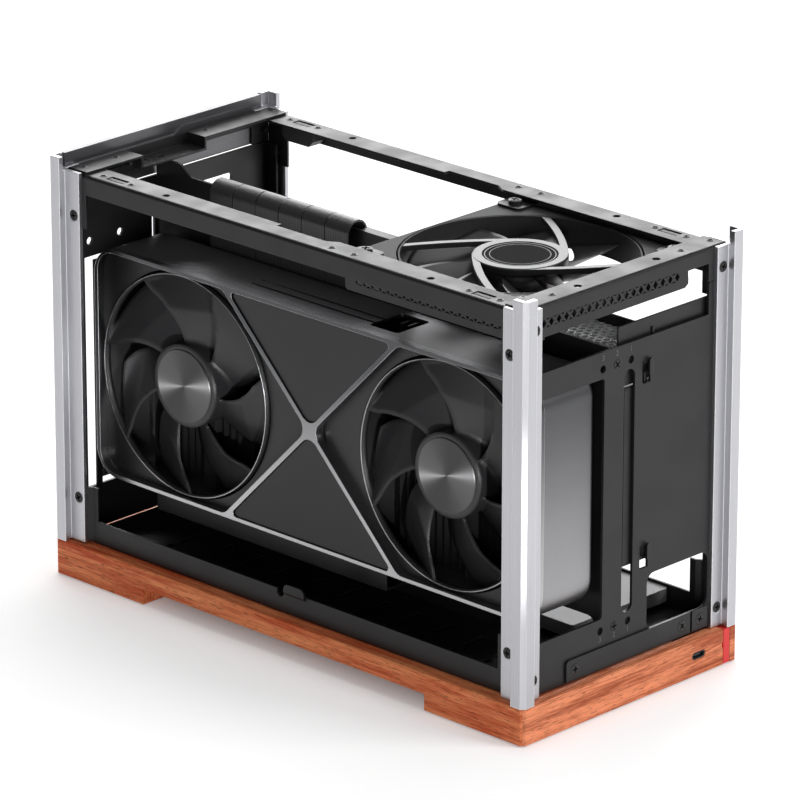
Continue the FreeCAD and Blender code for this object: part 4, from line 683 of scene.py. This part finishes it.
# Dark sheet under the tray: a thin near-black sheet below the slots beside the card.
# It is put there as painted shade, so that the slots read dark.
low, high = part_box("floor_tray")
shade_sheet_wall = 0.0006
shade_sheet_top = low.z - shade_sheet_gap
shade_sheet_side = (-0.061, -0.022)
shade_sheet_half_length = 0.120
points, faces = rounded_block((shade_sheet_side[0], -shade_sheet_half_length, shade_sheet_top - shade_sheet_wall),
                              (shade_sheet_side[1], shade_sheet_half_length, shade_sheet_top), 0.0002)
tray_shade_sheet = mesh_piece("tray_shade_sheet", points, faces, shade_sheet, smooth=False)
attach(tray_shade_sheet, "case")


# Folded edges: the front and rear plates turn in beside the posts, the card's bracket has a side wing,
# and a sheet stands behind the top of the front plate's slot. All are folded steel, painted the same black.
turn_outer = 0.069
turn_inner = 0.0675
turn_depth = 0.0093
turn_low = 0.0219
fold_radius = 0.0004
parts = []
for name, sign in (("front_plate", -1), ("rear_plate", 1)):
    low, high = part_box(name)
    face = low.y if sign < 0 else high.y
    back = face - sign * turn_depth
    for side in (-1, 1):
        x_pair = sorted((side * turn_inner, side * turn_outer))
        y_pair = sorted((face, back))
        parts.append(rounded_block((x_pair[0], y_pair[0], turn_low), (x_pair[1], y_pair[1], high.z),
                                   fold_radius))
wing_low = (-0.0555, 0.1541, 0.034)
wing_high = (-0.0515, 0.1553, 0.1655)
parts.append(rounded_block(wing_low, wing_high, fold_radius))
low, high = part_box("hung_bracket")
guard_front = low.y + 0.0045
guard_wall = 0.0012
guard_low = (low.x - 0.004, guard_front, high.z - 0.012)
guard_high = (high.x + 0.003, guard_front + guard_wall, high.z + 0.019)
parts.append(rounded_block(guard_low, guard_high, fold_radius))
points, faces = joined(parts)
folds = mesh_piece("plate_folds", points, faces, black_steel, smooth=False)
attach(folds, "case")


# Numerals beside the index holes: grey print on the black plate, a little worn.
# There is one for each place of the bulkhead, near the plate's top and near its foot.
numeral_ink, tree, shader = new_material("numeral_ink")
worn = noise(tree, place_at(tree), 3000.0)
wire(tree, shader, {"Base Color": blend(tree, worn, (0.09, 0.09, 0.09, 1), (0.15, 0.15, 0.15, 1)),
                    "Roughness": 0.6})
upright = Matrix.Rotation(math.pi / 2, 4, "X")
numeral_size = 0.0040
numeral_gap = 0.00006
for row, height in (("low", 0.0352), ("high", 0.1790)):
    for numeral, x in (("3", -0.0168), ("2", index_x), ("1", 0.0030)):
        curve = bpy.data.curves.new("numeral", "FONT")
        curve.body = numeral
        curve.size = numeral_size
        curve.align_x = "CENTER"
        holder = bpy.data.objects.new("numeral", curve)
        mesh = bpy.data.meshes.new_from_object(holder)
        bpy.data.objects.remove(holder)
        mesh.transform(Matrix.Translation((x, plate_face - numeral_gap, height)) @ upright)
        mesh.materials.clear()
        mesh.materials.append(numeral_ink)
        printed = bpy.data.objects.new("numeral_" + row + "_" + numeral, mesh)
        bpy.context.scene.collection.objects.link(printed)
        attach(printed, "case")


# Graphics card's trim: a cast metal frame that crosses the face in an X.
# Its satin metal runs from light at the bottom to dark at the top as a painted reflection, and its edges get
# a lighter colour as a painted highlight.
card_trim, tree, shader = new_material("card_trim")
satin, normal = fine_skin(tree, scale=1600.0, strength=0.06, distance=0.0001, edge=0.0005)
level = add(tree, "ShaderNodeSeparateXYZ", {0: place_at(tree)}).outputs[2]
low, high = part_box("card_frame")
# Light at the bottom and dark at the top: a painted reflection.
shade = calc(tree, "ADD", remap(tree, level, low.z, high.z), calc(tree, "MULTIPLY", satin, 0.08))
trim_tone = blend(tree, shade, (0.48, 0.48, 0.49, 1), (0.09, 0.09, 0.095, 1))
# Lighter on the edges: a painted highlight.
trim_tone = blend(tree, edge_share(tree, 0.0006, 0.02, 0.2), trim_tone, (0.75, 0.75, 0.76, 1))
wire(tree, shader, {"Base Color": trim_tone, "Metallic": 1.0, "Roughness": 0.32, "Normal": normal})
cover(card_trim, "card_frame")


# Graphics card's shroud: dark satin metal panels round the fans, the top and the end.
# The metal runs from light at the bottom to dark at the top as a painted reflection, and the backplate and
# the core have the same finish.
card_metal, tree, shader = new_material("card_shell_metal")
satin, normal = fine_skin(tree, scale=2200.0, strength=0.06, distance=0.0001, edge=0.0005)
patch = noise(tree, place_at(tree), 40.0)
level = add(tree, "ShaderNodeSeparateXYZ", {0: place_at(tree)}).outputs[2]
low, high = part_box("card_shell")
# Light at the bottom and dark at the top: a painted reflection.
shade = calc(tree, "ADD", remap(tree, level, low.z, high.z), calc(tree, "MULTIPLY", patch, 0.1))
wire(tree, shader, {"Base Color": blend(tree, shade, (0.36, 0.36, 0.37, 1), (0.10, 0.10, 0.105, 1)),
                    "Metallic": 1.0, "Roughness": remap(tree, satin, 0.3, 0.7, 0.36, 0.44),
                    "Normal": normal})
cover(card_metal, "card_shell", "card_backplate", "card_core")


# Panels and bay floors of the card: the same metal with a dark satin coat.
# The panels fill the middle of the X, and the floors lie sunk behind the fans.
card_dark, tree, shader = new_material("card_panel_metal")
satin, normal = fine_skin(tree, scale=2200.0, strength=0.06, distance=0.0001, edge=0.0005)
wire(tree, shader, {"Base Color": blend(tree, satin, (0.030, 0.030, 0.031, 1), (0.040, 0.040, 0.041, 1)),
                    "Metallic": 0.7, "Roughness": remap(tree, satin, 0.3, 0.7, 0.34, 0.42),
                    "Normal": normal})
cover(card_dark, "card_panel_top", "card_panel_bottom", "card_bay_floor_front", "card_bay_floor_rear")


# Graphics card's fans: seven scooped blades joined at their tips by a ring.
# Each fan is one moulding of smooth dark plastic.
rotor_plastic, tree, shader = new_material("rotor_plastic")
skin = noise(tree, place_at(tree), 900.0)
wire(tree, shader, {"Base Color": blend(tree, skin, (0.010, 0.010, 0.011, 1), (0.016, 0.016, 0.017, 1)),
                    "Roughness": 0.36, "Specular IOR Level": 0.42, "Normal": soft_edge(tree, 0.0035)})
cover(rotor_plastic, "card_rotor_front", "card_rotor_rear")


# Hub caps: thin metal discs with a circular brushed finish, glued to the rotors' hubs.
# Their edge is turned to a narrow bevel, the black hub shows outside it, and the blades' ring has a thin lip.
def spun_material(name, centre):
    """Metal whose scratches run round the centre, so it is rougher along each radius than across it."""
    made, tree, shader = new_material(name)
    coords = add(tree, "ShaderNodeTexCoord").outputs["Object"]
    arm = add(tree, "ShaderNodeVectorMath", {0: coords, 1: centre}, operation="SUBTRACT").outputs[0]
    tangent = add(tree, "ShaderNodeVectorMath", {0: arm}, operation="NORMALIZE").outputs[0]
    length = add(tree, "ShaderNodeVectorMath", {0: arm}, operation="LENGTH").outputs["Value"]
    rings = noise(tree, add(tree, "ShaderNodeCombineXYZ", {0: length}).outputs[0], 5200.0, 2.0)
    tone = blend(tree, rings, (0.105, 0.105, 0.107, 1), (0.190, 0.190, 0.193, 1))
    wire(tree, shader, {"Base Color": tone, "Metallic": 1.0, "Roughness": 0.5, "Anisotropic": 0.93,
                        "Tangent": tangent})
    return made


cap_share = 0.915
cap_bevel = 0.0004
lip_width = 0.0008
lip_depth = 0.0002
for end in ("front", "rear"):
    cap = "card_hub_cap_" + end
    low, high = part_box(cap)
    centre = (low + high) / 2
    rim = (high.y - low.y) / 2 * cap_share
    thick = high.x - low.x
    profile = [(0.0, thick), (rim - cap_bevel, thick), (rim, thick - cap_bevel), (rim, 0.0), (0.0, 0.0)]
    points, faces = turned(profile, (high.x, centre.y, centre.z), "-x")
    spun_metal = spun_material("spun_metal_" + end, centre)
    disc = mesh_piece("spun_cap_" + end, points, faces, spun_metal, smooth=False)
    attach(disc, "card_fan_" + end)
    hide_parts(cap)
    low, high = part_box("card_rotor_" + end)
    ring = (high.y - low.y) / 2
    ring_front = low.x + lip_depth
    inside = ring - lip_width
    profile = [(inside, 0.0), (ring - lip_width / 2, lip_depth), (ring, 0.0), (inside, 0.0)]
    points, faces = turned(profile, (ring_front, centre.y, centre.z), "-x", 160)
    lip = mesh_piece("ring_lip_" + end, points, faces, card_trim)
    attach(lip, "card_fan_" + end)


# Inside the card: blackened fins, the motors' mounts and the edge of the circuit board.
# The mill marks run up the fins, and a dark mask covers the boards.
fin_metal, tree, shader = new_material("fin_metal")
mill = noise(tree, place_at(tree, 1.0, 1.0, 0.1), 1200.0)
wire(tree, shader, {"Base Color": blend(tree, mill, (0.008, 0.008, 0.008, 1), (0.016, 0.016, 0.016, 1)),
                    "Metallic": 0.3, "Roughness": 0.5})
cover(fin_metal, "card_fins_front", "card_fins_rear", "card_motor_mount_front", "card_motor_mount_rear")

circuit, tree, shader = new_material("circuit_board")
mask = noise(tree, place_at(tree), 400.0)
wire(tree, shader, {"Base Color": blend(tree, mask, (0.008, 0.012, 0.010, 1), (0.016, 0.022, 0.019, 1)),
                    "Roughness": 0.4})
cover(circuit, "card_board", "front_io_board")


# Card's bracket and ports, and the USB port: plated steel, stamped and folded.
# The port in the plinth has a darker shell.
plated, tree, shader = new_material("port_metal")
brushed = noise(tree, place_at(tree, 1.0, 1.0, 0.05), 2600.0)
wire(tree, shader, {"Base Color": blend(tree, brushed, (0.40, 0.40, 0.41, 1), (0.55, 0.55, 0.56, 1)),
                    "Metallic": 1.0, "Roughness": 0.32, "Normal": soft_edge(tree, 0.0002)})
cover(plated, "card_io_bracket", "card_ports")

port_shell, tree, shader = new_material("port_shell")
brushed = noise(tree, place_at(tree), 2600.0)
wire(tree, shader, {"Base Color": blend(tree, brushed, (0.05, 0.05, 0.052, 1), (0.09, 0.09, 0.093, 1)),
                    "Metallic": 0.8, "Roughness": 0.4, "Normal": soft_edge(tree, 0.0002)})
cover(port_shell, "usb_c_port")


# Drive on the tray: a flat case of pressed aluminium with a fine matt blast.
# It stands on rubber feet.
drive_metal, tree, shader = new_material("drive_metal")
blast, normal = fine_skin(tree, scale=2400.0, strength=0.1, distance=0.0001, edge=0.0005)
wire(tree, shader, {"Base Color": blend(tree, blast, (0.22, 0.22, 0.225, 1), (0.30, 0.30, 0.305, 1)),
                    "Metallic": 0.6, "Roughness": 0.6, "Normal": normal})
cover(drive_metal, "drive")


# Power button: a bar of red moulded plastic in a slot at the plinth's corner.
# It slides inwards when it is pressed, against the switch behind it.
button_red, tree, shader = new_material("button_red")
skin = noise(tree, place_at(tree), 700.0)
wire(tree, shader, {"Base Color": blend(tree, skin, (0.70, 0.010, 0.010, 1), (0.80, 0.018, 0.016, 1)),
                    "Roughness": 0.3, "Normal": soft_edge(tree, 0.0004)})
cover(button_red, "power_button")


# Studio: a plain white floor, darkened under and near the case as a painted shadow, soft lights from the
# front, above, behind and low on the left, a narrow beam on each of the card's fans, and the camera.
floor_white, tree, shader = new_material("floor_white")
wire(tree, shader, {"Base Color": (0.86, 0.86, 0.86, 1), "Roughness": 1.0, "Specular IOR Level": 0.0})
path = add(tree, "ShaderNodeLightPath")
seen = calc(tree, "MAXIMUM", path.outputs["Is Camera Ray"], path.outputs["Is Glossy Ray"])
# The floor's glow falls to almost nothing under and near the case: a painted shadow.
spot = add(tree, "ShaderNodeSeparateXYZ", {0: place_at(tree)})
beside = calc(tree, "SUBTRACT", calc(tree, "ABSOLUTE", spot.outputs[0]), cad_high.x)
before = calc(tree, "SUBTRACT", calc(tree, "ABSOLUTE", spot.outputs[1]), cad_high.y)
shade_inside = -0.03
shade_outside = 0.015
glow_under = 0.02
glow_clear = 0.42
glow_painted_shadow = remap(tree, calc(tree, "MAXIMUM", beside, before), shade_inside, shade_outside, glow_under,
             glow_clear)
glow = calc(tree, "MULTIPLY", seen, glow_painted_shadow)
wire(tree, shader, {"Emission Color": (1, 1, 1, 1), "Emission Strength": glow})
floor_half = 6.0
floor_points = np.array([[-floor_half, -floor_half, 0], [floor_half, -floor_half, 0],
                         [floor_half, floor_half, 0], [-floor_half, floor_half, 0]])
floor = mesh_piece("floor", floor_points, np.array([[0, 1, 2, 3]]), floor_white, smooth=False)


def softbox(name, place, aim, width, height, power):
    """Rectangular light at a place, turned to a point."""
    lamp = bpy.data.lights.new(name, "AREA")
    lamp.shape = "RECTANGLE"
    lamp.size = width
    lamp.size_y = height
    lamp.energy = power
    made = bpy.data.objects.new(name, lamp)
    made.location = place
    made.rotation_euler = (Vector(aim) - Vector(place)).to_track_quat("-Z", "Y").to_euler()
    bpy.context.scene.collection.objects.link(made)


middle = (0.0, 0.0, 0.1)
softbox("key_light", (1.0, -2.0, 1.5), middle, width=1.2, height=1.2, power=32.0)
softbox("top_light", (0.2, 0.2, 2.4), middle, width=2.0, height=2.0, power=22.0)
softbox("back_light", (1.5, 1.6, 0.95), middle, width=2.6, height=1.1, power=46.0)
softbox("low_light", (-1.7, -1.6, 0.28), middle, width=0.35, height=0.9, power=16.0)

beam_radius = 0.056
beam_from = Vector((-1.5, -2.0, 0.10))
for end in ("front", "rear"):
    low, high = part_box("card_hub_cap_" + end)
    hub = (low + high) / 2
    place = beam_from + Vector((0.0, hub.y, 0.0))
    beam = bpy.data.lights.new("hub_beam_" + end, "SPOT")
    beam.energy = 300.0
    beam.shadow_soft_size = 0.012
    beam.spot_size = 2.0 * math.atan(beam_radius / (hub - place).length)
    beam.spot_blend = 0.8
    made = bpy.data.objects.new("hub_beam_" + end, beam)
    made.location = place
    made.rotation_euler = (hub - place).to_track_quat("-Z", "Y").to_euler()
    bpy.context.scene.collection.objects.link(made)

world = bpy.data.worlds.new("studio")
world.use_nodes = True
tree = world.node_tree
tree.nodes.clear()
back = add(tree, "ShaderNodeBackground", {"Color": (1, 1, 1, 1), "Strength": 0.11})
add(tree, "ShaderNodeOutputWorld", {"Surface": back.outputs[0]})
bpy.context.scene.world = world

lens = bpy.data.cameras.new("camera")
lens.lens = 275.975
lens.sensor_width = 36.0
camera = bpy.data.objects.new("camera", lens)
right = Vector((0.695984, -0.718057, 0.000695))
up = Vector((0.245173, 0.238546, 0.939673))
view = Vector((0.674905, 0.653827, -0.342072))
camera_place = (-2.0462415, -1.9889604, 1.1538546)
turn = Matrix((right, up, -view)).transposed().to_4x4()
camera.matrix_world = Matrix.Translation(camera_place) @ turn
bpy.context.scene.collection.objects.link(camera)
bpy.context.scene.camera = camera
bpy.context.scene.view_settings.view_transform = "Standard"
